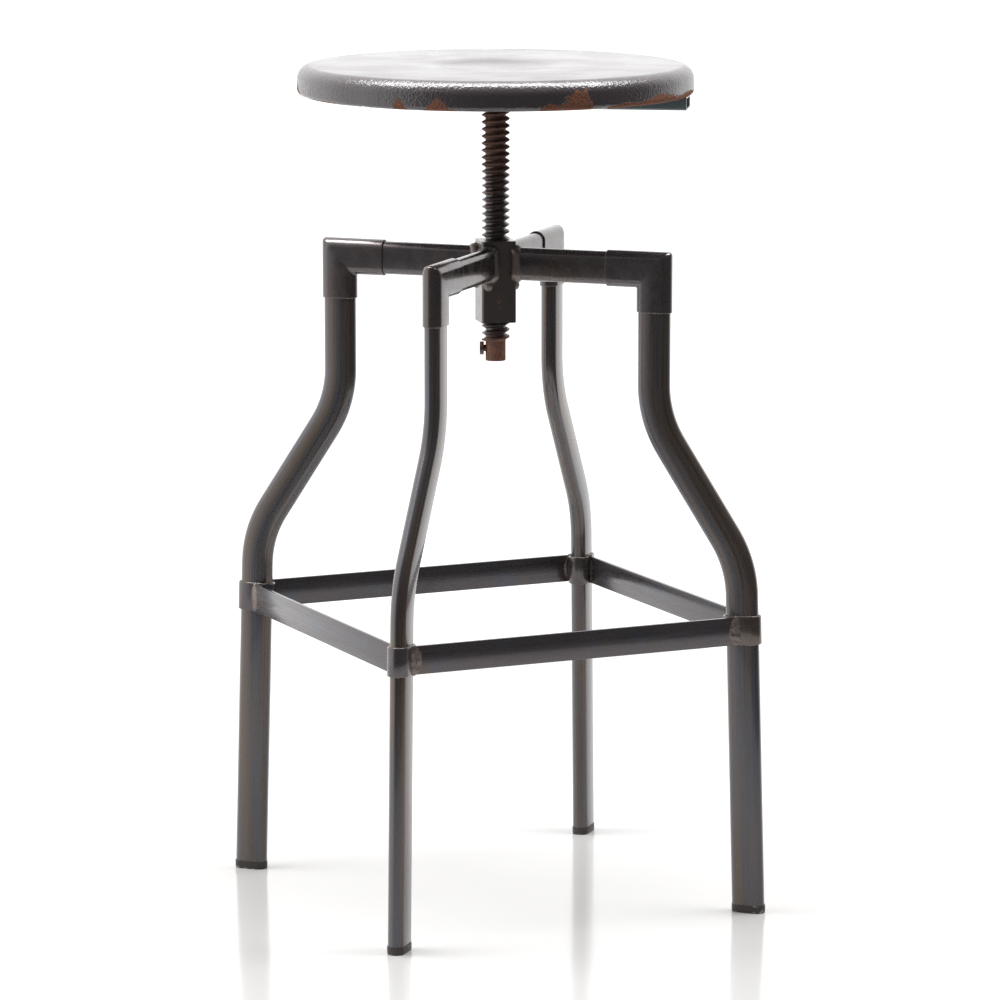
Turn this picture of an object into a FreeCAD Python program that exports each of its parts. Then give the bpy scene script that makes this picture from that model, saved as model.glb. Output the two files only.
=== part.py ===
import FreeCAD, Part

import math
import os

import Sketcher
from FreeCAD import Placement, Rotation, Vector

# Screw stool for a workshop: a round pressed seat on a coarse-threaded spindle, a square
# hub nut, four arms, four elbows, four bent legs and a square footrest.
# Millimetres. +Z is up, the floor is Z = 0 and the spindle's axis is the Z axis.
# The four legs stand on the X and Y axes. Each leg's pieces are drawn as if the leg stood
# on +X and are then turned about Z.

os.makedirs("parts", exist_ok=True)
doc = FreeCAD.newDocument("screw_stool")

# Driving sizes

SIZES = [
    ("tube_depth", 30.0, "flat-oval tube, long way across"),
    ("tube_width", 15.0, "flat-oval tube, short way across"),
    ("tube_wall", 1.5, "wall of arms and legs"),
    ("arm_level", 579.3, "height of the arms' centre line"),
    ("top_reach", 151.0, "spindle axis to the upper leg's centre line"),
    ("foot_reach", 243.3, "spindle axis to the leg's centre line at the floor"),
    ("splay", 1.66, "lean of the lower leg, degrees"),
    ("slope", 33.0, "lean of the leg between its two bends, degrees"),
    ("bend_radius", 100.0, "centre-line radius of both bends"),
    ("elbow_wall", 1.5, "wall of the elbow's sleeves"),
    ("elbow_run", 60.0, "elbow, outside length along the arm"),
    ("elbow_drop", 54.0, "elbow, outside length along the leg"),
    ("elbow_ledge", 2.0, "stop inside the elbow that the tube ends rest on"),
    ("hub_side", 31.75, "square hub, across the flats"),
    ("hub_turn", 11.6, "the hub's upright edges stand this far clockwise of the arms, degrees"),
    ("hub_round", 3.0, "rounding of the hub's upright edges"),
    ("hub_rise", 20.9, "hub top above the arms' centre line"),
    ("hub_drop", 53.0, "hub bottom below the arms' centre line"),
    ("pitch", 6.35, "lead of the thread, four turns to the inch"),
    ("screw_dia", 25.4, "thread, crest to crest"),
    ("root_dia", 18.4, "thread, root to root"),
    ("crest_flat", 0.9, "width of the thread's crest"),
    ("thread_angle", 60.0, "angle between the thread's flanks, degrees"),
    ("thread_play", 0.4, "gap between screw and nut, across and along"),
    ("overcut", 0.3, "cutting sections reach past the surface by this much"),
    ("stub_dia", 18.2, "plain ends of the spindle"),
    ("stub_length", 18.2, "plain lower end of the spindle"),
    ("thread_tail", 17.3, "thread showing below the hub at rest"),
    ("thread_length", 208.3, "length of the thread"),
    ("stop_drop", 7.3, "stop screw's axis below the thread"),
    ("stop_shank", 5.0, "stop screw, shank diameter"),
    ("stop_head", 12.0, "stop screw, head diameter"),
    ("stop_head_height", 3.8, "stop screw, head height"),
    ("stop_stand", 1.5, "head stands off the spindle's end by this much"),
    ("stop_bearing", 200.0, "direction of the stop screw, degrees from +X"),
    ("washer_dia", 30.0, "thrust washer, outside"),
    ("washer_height", 2.5, "thrust washer, thickness"),
    ("washer_play", 0.1, "thrust washer, gap round the spindle's end"),
    ("boss_dia", 38.0, "boss that takes the spindle's upper end"),
    ("boss_height", 28.2, "boss height"),
    ("pin_dia", 6.0, "cross pin through boss and spindle"),
    ("pin_rise", 19.2, "cross pin's axis above the boss's lower end"),
    ("plate_dia", 140.0, "mounting plate under the seat"),
    ("plate_height", 5.0, "mounting plate, thickness"),
    ("seat_dia", 355.6, "seat, outside"),
    ("seat_height", 26.0, "seat, edge height"),
    ("seat_wall", 2.0, "seat, sheet thickness"),
    ("edge_round", 12.0, "rounding of the seat's upper edge"),
    ("lip_width", 14.0, "inward lip round the seat's lower edge"),
    ("lip_round", 5.0, "rounding of the seat's lower edge"),
    ("dish_dia", 120.0, "shallow dish in the middle of the seat"),
    ("dish_slope", 8.0, "width of the dish's sloping side"),
    ("dish_depth", 3.0, "depth of the dish"),
    ("socket_width", 30.0, "backrest socket, across"),
    ("socket_height", 12.0, "backrest socket, upright"),
    ("socket_wall", 1.5, "backrest socket, wall"),
    ("socket_reach", 173.5, "spindle axis to the socket's open end"),
    ("socket_bearing", 12.0, "direction of the socket, degrees from +X"),
    ("ring_level", 259.0, "height of the footrest's centre line"),
    ("bar_height", 25.4, "footrest bar, upright"),
    ("bar_width", 3.2, "footrest bar, thickness"),
    ("bar_offset", 5.0, "bars lie this far outside the line between two legs"),
    ("collar_wall", 1.2, "collar round the leg at the footrest"),
    ("knee_gap", 18.6, "straight leg between the collar's top and the lower bend"),
    ("cap_flange", 7.0, "foot cap, height that shows"),
    ("cap_edge", 0.5, "foot cap stands proud of the tube by this much"),
    ("cap_plug", 20.0, "foot cap, plug inside the tube"),
    ("cap_play", 0.3, "gap between plug and tube"),
    ("cap_round", 1.2, "rounding of the foot cap's lower edge"),
    ("bead", 2.5, "radius of the upright weld beads"),
    ("hub_bead_height", 26.0, "height of the beads between arms and hub"),
    ("fillet", 5.0, "weld fillet round the boss"),
    ("seam", 1.5, "width of the seams round the tubes"),
]

# Sizes that follow from the driving ones

FOLLOWING = [
    ("elbow_depth", "=tube_depth + 2 * elbow_wall"),
    ("elbow_width", "=tube_width + 2 * elbow_wall"),
    ("elbow_start", "=top_reach + elbow_depth / 2 - elbow_run"),
    ("elbow_foot", "=arm_level + elbow_depth / 2 - elbow_drop"),
    ("arm_end", "=top_reach - elbow_depth / 2"),
    ("arm_socket", "=arm_end - elbow_start"),
    ("leg_top", "=arm_level - elbow_depth / 2"),
    ("leg_socket", "=leg_top - elbow_foot"),
    ("bore_depth", "=tube_depth - 2 * tube_wall"),
    ("bore_width", "=tube_width - 2 * tube_wall"),
    ("passage_depth", "=tube_depth - 2 * elbow_ledge"),
    ("passage_width", "=tube_width - 2 * elbow_ledge"),
    ("seam_depth", "=elbow_depth - elbow_wall / 2"),
    ("seam_width", "=elbow_width - elbow_wall / 2"),
    ("knee_run", "=bend_radius * tan((slope - splay) / 2)"),
    ("knee_level", "=ring_level + bar_height / 2 + knee_gap + knee_run * cos(splay)"),
    ("knee_reach", "=foot_reach - knee_level * tan(splay)"),
    ("bend_level", "=knee_level + (knee_reach - top_reach) / tan(slope)"),
    ("bend_start", "=bend_level + bend_radius * tan(slope / 2)"),
    ("leg_end", "=cap_flange / 2"),
    ("leg_end_reach", "=foot_reach - leg_end * tan(splay)"),
    ("hub_corner", "=hub_side * sqrt(0.5)"),
    ("hub_far", "=hub_corner * cos(hub_turn)"),
    ("hub_near", "=hub_corner * sin(hub_turn)"),
    ("hub_top", "=arm_level + hub_rise"),
    ("hub_bottom", "=arm_level - hub_drop"),
    ("hub_length", "=hub_rise + hub_drop"),
    ("thread_bottom", "=hub_bottom - thread_tail"),
    ("thread_top", "=thread_bottom + thread_length"),
    ("spindle_bottom", "=thread_bottom - stub_length"),
    ("stub_radius", "=stub_dia / 2"),
    ("screw_radius", "=screw_dia / 2"),
    ("groove_inside", "=root_dia / 2"),
    ("groove_outside", "=screw_radius + overcut"),
    ("groove_half", "=(pitch - crest_flat) / 2"),
    ("groove_inner_half", "=groove_half - (screw_radius - groove_inside) * tan(thread_angle / 2)"),
    ("groove_outer_half", "=groove_half + overcut * tan(thread_angle / 2)"),
    ("groove_level", "=thread_bottom - pitch"),
    ("groove_rise", "=thread_length + 2 * pitch"),
    ("groove_a", "=groove_level - groove_inner_half"),
    ("groove_b", "=groove_level - groove_outer_half"),
    ("groove_c", "=groove_level + groove_outer_half"),
    ("groove_d", "=groove_level + groove_inner_half"),
    ("nut_bore", "=root_dia + 2 * thread_play"),
    ("nut_inside", "=nut_bore / 2 - overcut"),
    ("nut_outside", "=screw_radius + thread_play"),
    ("nut_half", "=crest_flat / 2 + thread_play"),
    ("nut_inner_half", "=nut_half + (screw_radius - nut_inside) * tan(thread_angle / 2)"),
    ("nut_outer_half", "=nut_half - thread_play * tan(thread_angle / 2)"),
    ("nut_level", "=thread_bottom - pitch / 2"),
    ("nut_rise", "=thread_tail + hub_length + 2 * pitch"),
    ("nut_a", "=nut_level - nut_inner_half"),
    ("nut_b", "=nut_level - nut_outer_half"),
    ("nut_c", "=nut_level + nut_outer_half"),
    ("nut_d", "=nut_level + nut_inner_half"),
    ("stop_level", "=thread_bottom - stop_drop"),
    ("shank_radius", "=stop_shank / 2"),
    ("head_radius", "=stop_head / 2"),
    ("head_foot", "=stub_radius + stop_stand"),
    ("head_top", "=head_foot + stop_head_height"),
    ("boss_bottom", "=thread_top + washer_height"),
    ("boss_top", "=boss_bottom + boss_height"),
    ("boss_radius", "=boss_dia / 2"),
    ("pin_level", "=boss_bottom + pin_rise"),
    ("plate_top", "=boss_top + plate_height"),
    ("seat_top", "=plate_top + seat_wall + dish_depth"),
    ("rim_bottom", "=seat_top - seat_height"),
    ("seat_radius", "=seat_dia / 2"),
    ("seat_inside", "=seat_radius - seat_wall"),
    ("lip_inside", "=seat_radius - lip_width"),
    ("lip_top", "=rim_bottom + seat_wall"),
    ("roof", "=seat_top - seat_wall"),
    ("inner_edge_round", "=edge_round - seat_wall"),
    ("inner_lip_round", "=lip_round - seat_wall"),
    ("dish_edge", "=dish_dia / 2"),
    ("dish_floor_edge", "=dish_edge - dish_slope"),
    ("dish_floor", "=seat_top - dish_depth"),
    ("socket_bottom", "=rim_bottom - socket_height"),
    ("cap_depth", "=tube_depth + 2 * cap_edge"),
    ("cap_width", "=tube_width + 2 * cap_edge"),
    ("plug_depth", "=bore_depth - 2 * cap_play"),
    ("plug_width", "=bore_width - 2 * cap_play"),
    ("plug_foot_reach", "=foot_reach - cap_flange * tan(splay)"),
    ("plug_top", "=cap_flange + cap_plug"),
    ("plug_top_reach", "=foot_reach - plug_top * tan(splay)"),
    ("ring_reach", "=foot_reach - ring_level * tan(splay)"),
    ("collar_depth", "=tube_depth + 2 * collar_wall"),
    ("collar_width", "=tube_width + 2 * collar_wall"),
    ("bar_length", "=ring_reach * sqrt(2)"),
    ("bar_reach", "=ring_reach * sqrt(0.5) + bar_offset"),
    ("bar_outside", "=bar_reach + bar_width / 2"),
]

sheet = doc.addObject("Spreadsheet::Sheet", "Sizes")
for row, (alias, value, meaning) in enumerate(SIZES, start=1):
    sheet.set(f"A{row}", meaning)
    sheet.set(f"B{row}", str(value))
    sheet.setAlias(f"B{row}", alias)
for row, (alias, formula) in enumerate(FOLLOWING, start=len(SIZES) + 1):
    sheet.set(f"A{row}", alias.replace("_", " "))
    sheet.set(f"B{row}", formula)
    sheet.setAlias(f"B{row}", alias)
doc.recompute()


def size(alias):
    """The value of one cell, in mm or degrees."""
    return float(sheet.get(alias))


# Legs stand on +X, +Y, -X and -Y
LEGS = {"right": 0.0, "rear": 90.0, "left": 180.0, "front": 270.0}
# Each footrest bar runs from one leg to the next
BARS = {"rear_right": 0.0, "rear_left": 90.0, "front_left": 180.0, "front_right": 270.0}

UP = Vector(0, 0, 1)
subparts = []


def turned(degrees):
    """A turn about the spindle's axis."""
    return Placement(Vector(0, 0, 0), Rotation(UP, degrees))


def keep(thing, label, turn=0.0):
    """Names a finished sub-part and turns it to its place round the spindle."""
    thing.Label = label
    thing.Placement = turned(turn) * thing.Placement
    subparts.append(thing)


# Sketches


def new_body(name):
    return doc.addObject("PartDesign::Body", name)


def new_sketch(body, name, role, across=None, up=None, lift=None):
    """A sketch on one of the body's own planes, moved along its x, its y and its normal."""
    sketch = body.newObject("Sketcher::SketchObject", name)
    plane = [plane for plane in body.Origin.OriginFeatures if plane.Role == role][0]
    sketch.AttachmentSupport = [(plane, "")]
    sketch.MapMode = "FlatFace"
    for axis, cell in zip("xyz", (across, up, lift)):
        if cell:
            sketch.setExpression(f".AttachmentOffset.Base.{axis}", f"Sizes.{cell}")
    return sketch


def bind(sketch, kind, first, second, cell):
    """Sets the distance from the first point to the second, tied to the sheet."""
    value = size(cell)
    rule = Sketcher.Constraint(kind, *first, *second, value)
    index = sketch.addConstraint(rule)
    sketch.setExpression(f"Constraints[{index}]", f"Sizes.{cell}")


def join_ends(sketch, kind, first, count, closed=True):
    """Joins each of the edges to the next, end to start."""
    for step in range(count if closed else count - 1):
        after = first + (step + 1) % count
        sketch.addConstraint(Sketcher.Constraint(kind, first + step, 2, after, 1))


def flat_oval(sketch, long_way, short_way, upright=False):
    """A flat-oval outline about the sketch's origin, long along its x, or its y if upright."""
    half = size(short_way) / 2
    reach = size(long_way) / 2 - half
    along = Vector(0, 1, 0) if upright else Vector(1, 0, 0)
    side = UP.cross(along) * half
    start = 0.0 if upright else -math.pi / 2
    first = sketch.GeometryCount
    near, far = along * reach, along * -reach
    edges = [
        Part.ArcOfCircle(Part.Circle(near, UP, half), start, start + math.pi),
        Part.LineSegment(near + side, far + side),
        Part.ArcOfCircle(Part.Circle(far, UP, half), start + math.pi, start + 2 * math.pi),
        Part.LineSegment(far - side, near - side),
    ]
    sketch.addGeometry(edges, False)
    join_ends(sketch, "Tangent", first, 4)
    axis, level = (-2, "Vertical") if upright else (-1, "Horizontal")
    sketch.addConstraint(Sketcher.Constraint(level, first + 1))
    sketch.addConstraint(Sketcher.Constraint("PointOnObject", first, 3, axis))
    sketch.addConstraint(Sketcher.Constraint("Symmetric", first, 3, first + 2, 3, -1, 1))
    index = sketch.addConstraint(Sketcher.Constraint("Radius", first, half))
    sketch.setExpression(f"Constraints[{index}]", f"Sizes.{short_way} / 2")
    gap = "DistanceY" if upright else "DistanceX"
    index = sketch.addConstraint(Sketcher.Constraint(gap, first + 2, 3, first, 3, 2 * reach))
    sketch.setExpression(f"Constraints[{index}]", f"Sizes.{long_way} - Sizes.{short_way}")


def round_outline(sketch, dia):
    """A circle about the sketch's origin."""
    number = sketch.addGeometry(Part.Circle(Vector(0, 0, 0), UP, size(dia) / 2), False)
    sketch.addConstraint(Sketcher.Constraint("Coincident", number, 3, -1, 1))
    index = sketch.addConstraint(Sketcher.Constraint("Diameter", number, size(dia)))
    sketch.setExpression(f"Constraints[{index}]", f"Sizes.{dia}")


def outline(sketch, corners):
    """A polygon through corners given as pairs of cells. A minus sign mirrors a cell."""

    def value(cell):
        if not cell:
            return 0.0
        return -size(cell[1:]) if cell.startswith("-") else size(cell)

    count = len(corners)
    first = sketch.GeometryCount
    places = [Vector(value(across), value(up), 0) for across, up in corners]
    for step in range(count):
        sketch.addGeometry(Part.LineSegment(places[step], places[(step + 1) % count]), False)
    join_ends(sketch, "Coincident", first, count)
    for step, corner in enumerate(corners):
        here, origin = (first + step, 1), (-1, 1)
        for kind, axis, cell in zip(("DistanceX", "DistanceY"), (-2, -1), corner):
            if not cell:
                sketch.addConstraint(Sketcher.Constraint("PointOnObject", *here, axis))
            elif cell.startswith("-"):
                bind(sketch, kind, here, origin, cell[1:])
            else:
                bind(sketch, kind, origin, here, cell)


# Features


def pad(body, sketch, length, name, both_ways=False):
    feature = body.newObject("PartDesign::Pad", name)
    feature.Profile = sketch
    feature.setExpression("Length", f"Sizes.{length}")
    feature.Midplane = both_ways
    doc.recompute()
    return feature


def pocket(body, sketch, length, name, along_normal=False):
    """Cuts against the sketch's normal, or along it, and checks that metal went."""
    before = body.Shape.Volume
    feature = body.newObject("PartDesign::Pocket", name)
    feature.Profile = sketch
    feature.setExpression("Length", f"Sizes.{length}")
    feature.Reversed = along_normal
    doc.recompute()
    if not body.Shape.Volume < before - 1:
        raise ValueError(f"{name} cuts nothing from {body.Name}")
    return feature


def revolve(body, sketch, name):
    """A full turn of a sketch on the XZ plane about the Z axis."""
    feature = body.newObject("PartDesign::Revolution", name)
    feature.Profile = sketch
    feature.ReferenceAxis = (sketch, ["V_Axis"])
    feature.Angle = 360
    doc.recompute()
    return feature


def pipe(body, section, path, name, corner="Transformed", cutting=False):
    """Sweeps the section along the path."""
    kind = "PartDesign::SubtractivePipe" if cutting else "PartDesign::AdditivePipe"
    feature = body.newObject(kind, name)
    feature.Profile = section
    feature.Spine = path
    feature.Transition = corner
    doc.recompute()
    return feature


def round_edges(body, test, radius, name):
    """Rounds the body's edges that pass the test."""
    base = body.Tip
    edges = base.Shape.Edges
    names = [f"Edge{number}" for number, edge in enumerate(edges, start=1) if test(edge)]
    feature = body.newObject("PartDesign::Fillet", name)
    feature.Base = (base, names)
    feature.setExpression("Radius", f"Sizes.{radius}")
    doc.recompute()
    return feature


def ring_at(radius, level):
    """A test for the round edge of this radius about Z at this height."""

    def test(edge):
        curve = edge.Curve
        if not isinstance(curve, Part.Circle):
            return False
        return abs(curve.Radius - size(radius)) + abs(curve.Center.z - size(level)) < 0.001

    return test


def at_level(level):
    """A test for the edges that lie at this height."""

    def test(edge):
        box = edge.BoundBox
        return abs(box.ZMin - level) + abs(box.ZMax - level) < 0.001

    return test


def upright(edge):
    """A test for straight edges along Z."""
    return isinstance(edge.Curve, Part.Line) and abs(edge.Curve.Direction.z) > 0.999


def helix_cut(body, section, rise, name):
    """A groove that climbs about Z, right-handed, by the thread's lead."""
    feature = body.newObject("PartDesign::SubtractiveHelix", name)
    feature.Profile = section
    feature.ReferenceAxis = (section, ["V_Axis"])
    feature.Mode = 0
    feature.setExpression("Pitch", "Sizes.pitch")
    feature.setExpression("Height", f"Sizes.{rise}")
    feature.Angle = 0
    feature.Growth = 0
    doc.recompute()


# Plain solids and cuts


def cylinder(name, radius, length, placement=Placement()):
    """An upright cylinder, or one laid as the placement says. Radius and length are formulas."""
    thing = doc.addObject("Part::Cylinder", name)
    thing.setExpression("Radius", radius)
    thing.setExpression("Height", length)
    thing.Placement = placement
    return thing


def at(across=0.0, along=0.0, level=0.0, rotation=Rotation()):
    return Placement(Vector(across, along, level), rotation)


def cut(name, whole, tools):
    """The whole less each of the tools."""
    for tool in tools:
        step = doc.addObject("Part::Cut", f"{name}_cut")
        step.Base = whole
        step.Tool = tool
        whole = step
    doc.recompute()
    return whole


def oval_bar(name, ovals, length, placement, upright_oval=False):
    """A bar of flat-oval section, hollow if a second oval is given, along the placement's z."""
    sketch = doc.addObject("Sketcher::SketchObject", f"{name}_section")
    for long_way, short_way in ovals:
        flat_oval(sketch, long_way, short_way, upright_oval)
    sketch.Placement = placement
    bar = doc.addObject("Part::Extrusion", name)
    bar.Base = sketch
    bar.DirMode = "Normal"
    bar.Solid = True
    bar.setExpression("LengthFwd", length)
    doc.recompute()
    return bar


def group(name, members):
    """Separate solids that share one node."""
    thing = doc.addObject("Part::Compound", name)
    thing.Links = members
    doc.recompute()
    return thing


# The hub: a square block whose upright edges point nearly along the arms

HUB_CORNERS = [
    ("hub_far", "-hub_near"),
    ("hub_near", "hub_far"),
    ("-hub_far", "hub_near"),
    ("-hub_near", "-hub_far"),
]


def hub_block(name):
    body = new_body(name)
    sketch = new_sketch(body, f"{name}_square", "XY_Plane", lift="hub_bottom")
    outline(sketch, HUB_CORNERS)
    pad(body, sketch, "hub_length", f"{name}_block")
    round_edges(body, upright, "hub_round", f"{name}_edges")
    return body


def make_hub_nut():
    body = hub_block("hub")
    bore = new_sketch(body, "hub_bore_circle", "XY_Plane", lift="hub_bottom")
    round_outline(bore, "nut_bore")
    pocket(body, bore, "hub_length", "hub_bore", along_normal=True)
    section = new_sketch(body, "hub_thread_section", "XZ_Plane")
    outline(
        section,
        [
            ("nut_inside", "nut_a"),
            ("nut_outside", "nut_b"),
            ("nut_outside", "nut_c"),
            ("nut_inside", "nut_d"),
        ],
    )
    helix_cut(body, section, "nut_rise", "hub_thread")
    keep(body, "hub_nut")


hub_blank = hub_block("hub_blank")
make_hub_nut()


# Arms: flat-oval tube, wide side upright, notched over the hub's upright edges


def make_arm(side, turn):
    body = new_body(f"arm_{side}_tube")
    section = new_sketch(body, f"arm_{side}_section", "YZ_Plane", up="arm_level")
    flat_oval(section, "tube_depth", "tube_width", upright=True)
    flat_oval(section, "bore_depth", "bore_width", upright=True)
    pad(body, section, "arm_end", f"arm_{side}_length")
    keep(cut(f"arm_{side}", body, [hub_blank]), f"arm_{side}", turn)


# Elbows: mitred sleeves that the ends of an arm and a leg slide into


def make_elbow(side, turn):
    body = new_body(f"elbow_{side}")
    path = new_sketch(body, f"elbow_{side}_path", "XZ_Plane")
    start = Vector(size("elbow_start"), size("arm_level"), 0)
    corner = Vector(size("top_reach"), size("arm_level"), 0)
    foot = Vector(size("top_reach"), size("elbow_foot"), 0)
    path.addGeometry([Part.LineSegment(start, corner), Part.LineSegment(corner, foot)], False)
    join_ends(path, "Coincident", 0, 2, closed=False)
    path.addConstraint(Sketcher.Constraint("Horizontal", 0))
    path.addConstraint(Sketcher.Constraint("Vertical", 1))
    bind(path, "DistanceX", (-1, 1), (0, 1), "elbow_start")
    bind(path, "DistanceY", (-1, 1), (0, 1), "arm_level")
    bind(path, "DistanceX", (-1, 1), (1, 2), "top_reach")
    bind(path, "DistanceY", (-1, 1), (1, 2), "elbow_foot")
    place = {"up": "arm_level", "lift": "elbow_start"}
    skin = new_sketch(body, f"elbow_{side}_skin", "YZ_Plane", **place)
    flat_oval(skin, "elbow_depth", "elbow_width", upright=True)
    pipe(body, skin, path, f"elbow_{side}_sleeve", corner="Right corner")
    hollow = new_sketch(body, f"elbow_{side}_hollow", "YZ_Plane", **place)
    flat_oval(hollow, "passage_depth", "passage_width", upright=True)
    pipe(body, hollow, path, f"elbow_{side}_passage", corner="Right corner", cutting=True)
    arm_mouth = new_sketch(body, f"elbow_{side}_arm_mouth", "YZ_Plane", **place)
    flat_oval(arm_mouth, "tube_depth", "tube_width", upright=True)
    pocket(body, arm_mouth, "arm_socket", f"elbow_{side}_arm_socket", along_normal=True)
    under = {"across": "top_reach", "lift": "elbow_foot"}
    leg_mouth = new_sketch(body, f"elbow_{side}_leg_mouth", "XY_Plane", **under)
    flat_oval(leg_mouth, "tube_depth", "tube_width")
    pocket(body, leg_mouth, "leg_socket", f"elbow_{side}_leg_socket", along_normal=True)
    keep(body, f"elbow_{side}", turn)


# Legs: upright under the elbow, out through two bends, then nearly upright to the floor


def make_leg(side, turn):
    body = new_body(f"leg_{side}")
    slope = math.radians(size("slope"))
    splay = math.radians(size("splay"))
    radius = size("bend_radius")
    top = Vector(size("top_reach"), size("leg_top"), 0)
    foot = Vector(size("leg_end_reach"), size("leg_end"), 0)
    upper_end = Vector(top.x, size("bend_start"), 0)
    upper_centre = upper_end + Vector(radius, 0, 0)
    slope_start = upper_centre - Vector(math.cos(slope), math.sin(slope), 0) * radius
    down_slope = Vector(math.sin(slope), -math.cos(slope), 0)
    down_foot = Vector(math.sin(splay), -math.cos(splay), 0)
    knee = Vector(size("knee_reach"), size("knee_level"), 0)
    tangent = size("knee_run")
    slope_end = knee - down_slope * tangent
    lower_start = knee + down_foot * tangent
    lower_centre = slope_end - Vector(math.cos(slope), math.sin(slope), 0) * radius
    path = new_sketch(body, f"leg_{side}_path", "XZ_Plane")
    edges = [
        Part.LineSegment(top, upper_end),
        Part.ArcOfCircle(Part.Circle(upper_centre, UP, radius), math.pi, math.pi + slope),
        Part.LineSegment(slope_start, slope_end),
        Part.ArcOfCircle(Part.Circle(lower_centre, UP, radius), splay, slope),
        Part.LineSegment(lower_start, foot),
    ]
    path.addGeometry(edges, False)
    for meeting in ((0, 2, 1, 1), (1, 2, 2, 1), (2, 2, 3, 2), (3, 1, 4, 1)):
        path.addConstraint(Sketcher.Constraint("Tangent", *meeting))
    path.addConstraint(Sketcher.Constraint("Vertical", 0))
    bind(path, "DistanceX", (-1, 1), (0, 1), "top_reach")
    bind(path, "DistanceY", (-1, 1), (0, 1), "leg_top")
    bind(path, "DistanceY", (-1, 1), (0, 2), "bend_start")
    bind(path, "DistanceX", (-1, 1), (4, 2), "leg_end_reach")
    bind(path, "DistanceY", (-1, 1), (4, 2), "leg_end")
    for arc in (1, 3):
        index = path.addConstraint(Sketcher.Constraint("Radius", arc, radius))
        path.setExpression(f"Constraints[{index}]", "Sizes.bend_radius")
    for line, lean, cell in ((2, slope, "slope"), (4, splay, "splay")):
        rule = Sketcher.Constraint("Angle", line, -math.pi / 2 + lean)
        index = path.addConstraint(rule)
        path.setExpression(f"Constraints[{index}]", f"(Sizes.{cell} - 90) * 1deg")
    section = new_sketch(body, f"leg_{side}_section", "XY_Plane", across="top_reach", lift="leg_top")
    flat_oval(section, "tube_depth", "tube_width")
    flat_oval(section, "bore_depth", "bore_width")
    pipe(body, section, path, f"leg_{side}_tube")
    trim = new_sketch(body, f"leg_{side}_trim", "XY_Plane", across="foot_reach")
    flat_oval(trim, "collar_depth", "collar_width")
    pocket(body, trim, "cap_flange", f"leg_{side}_foot", along_normal=True)
    keep(body, f"leg_{side}", turn)


# Foot caps: a plastic flange under the tube's end and a plug inside it


def make_foot_cap(side, turn):
    body = new_body(f"foot_cap_{side}")
    tread = new_sketch(body, f"foot_cap_{side}_tread", "XY_Plane", across="foot_reach")
    flat_oval(tread, "cap_depth", "cap_width")
    pad(body, tread, "cap_flange", f"foot_cap_{side}_flange")
    round_edges(body, at_level(0.0), "cap_round", f"foot_cap_{side}_edge")
    sections = []
    for level, reach in (("cap_flange", "plug_foot_reach"), ("plug_top", "plug_top_reach")):
        sketch = new_sketch(body, f"foot_cap_{side}_{level}", "XY_Plane", across=reach, lift=level)
        flat_oval(sketch, "plug_depth", "plug_width")
        sections.append(sketch)
    plug = body.newObject("PartDesign::AdditiveLoft", f"foot_cap_{side}_plug")
    plug.Profile = sections[0]
    plug.Sections = [sections[1]]
    plug.Ruled = True
    doc.recompute()
    keep(body, f"foot_cap_{side}", turn)


for side, turn in LEGS.items():
    make_arm(side, turn)
    make_elbow(side, turn)
    make_leg(side, turn)
    make_foot_cap(side, turn)


# Footrest: a collar round each leg and a flat bar between neighbouring collars

LEAN = Rotation(Vector(0, 1, 0), -size("splay"))
RING_PLACE = at(size("ring_reach"), 0, size("ring_level"), LEAN)
# Cutting solids run this far past what they cut, at each end
REACH_PAST = at(0, 0, -size("bar_height"))

collar_blank = oval_bar(
    "collar_blank",
    [("collar_depth", "collar_width")],
    "2 * Sizes.bar_height",
    RING_PLACE * REACH_PAST,
)
next_collar_blank = oval_bar(
    "next_collar_blank",
    [("collar_depth", "collar_width")],
    "2 * Sizes.bar_height",
    turned(90) * RING_PLACE * REACH_PAST,
)


def make_collar(side, turn):
    body = new_body(f"collar_{side}")
    section = new_sketch(body, f"collar_{side}_section", "XY_Plane")
    flat_oval(section, "collar_depth", "collar_width")
    flat_oval(section, "tube_depth", "tube_width")
    pad(body, section, "bar_height", f"collar_{side}_height", both_ways=True)
    body.Placement = RING_PLACE
    keep(body, f"collar_{side}", turn)


def bar_blank(name):
    """The flat bar between the legs on +X and +Y, square at both ends."""
    bar = doc.addObject("Part::Box", name)
    for side, cell in (("Length", "bar_length"), ("Width", "bar_width"), ("Height", "bar_height")):
        bar.setExpression(side, f"Sizes.{cell}")
    low = size("ring_level") - size("bar_height") / 2
    bar.Placement = turned(135) * at(-size("bar_length") / 2, -size("bar_outside"), low)
    return bar


def make_bar(place, turn):
    name = f"footrest_bar_{place}"
    blank = bar_blank(f"{name}_blank")
    keep(cut(name, blank, [collar_blank, next_collar_blank]), name, turn)


for side, turn in LEGS.items():
    make_collar(side, turn)
for place, turn in BARS.items():
    make_bar(place, turn)


# Spindle: a right-hand thread between two plain ends


def make_spindle():
    body = new_body("spindle_blank")
    section = new_sketch(body, "spindle_outline", "XZ_Plane")
    outline(
        section,
        [
            (0, "spindle_bottom"),
            ("stub_radius", "spindle_bottom"),
            ("stub_radius", "thread_bottom"),
            ("screw_radius", "thread_bottom"),
            ("screw_radius", "thread_top"),
            ("stub_radius", "thread_top"),
            ("stub_radius", "boss_top"),
            (0, "boss_top"),
        ],
    )
    revolve(body, section, "spindle_round")
    groove = new_sketch(body, "spindle_groove", "XZ_Plane")
    outline(
        groove,
        [
            ("groove_inside", "groove_a"),
            ("groove_outside", "groove_b"),
            ("groove_outside", "groove_c"),
            ("groove_inside", "groove_d"),
        ],
    )
    helix_cut(body, groove, "groove_rise", "spindle_thread")
    keep(cut("spindle", body, [stop_hole, pin_blank]), "spindle")


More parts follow.
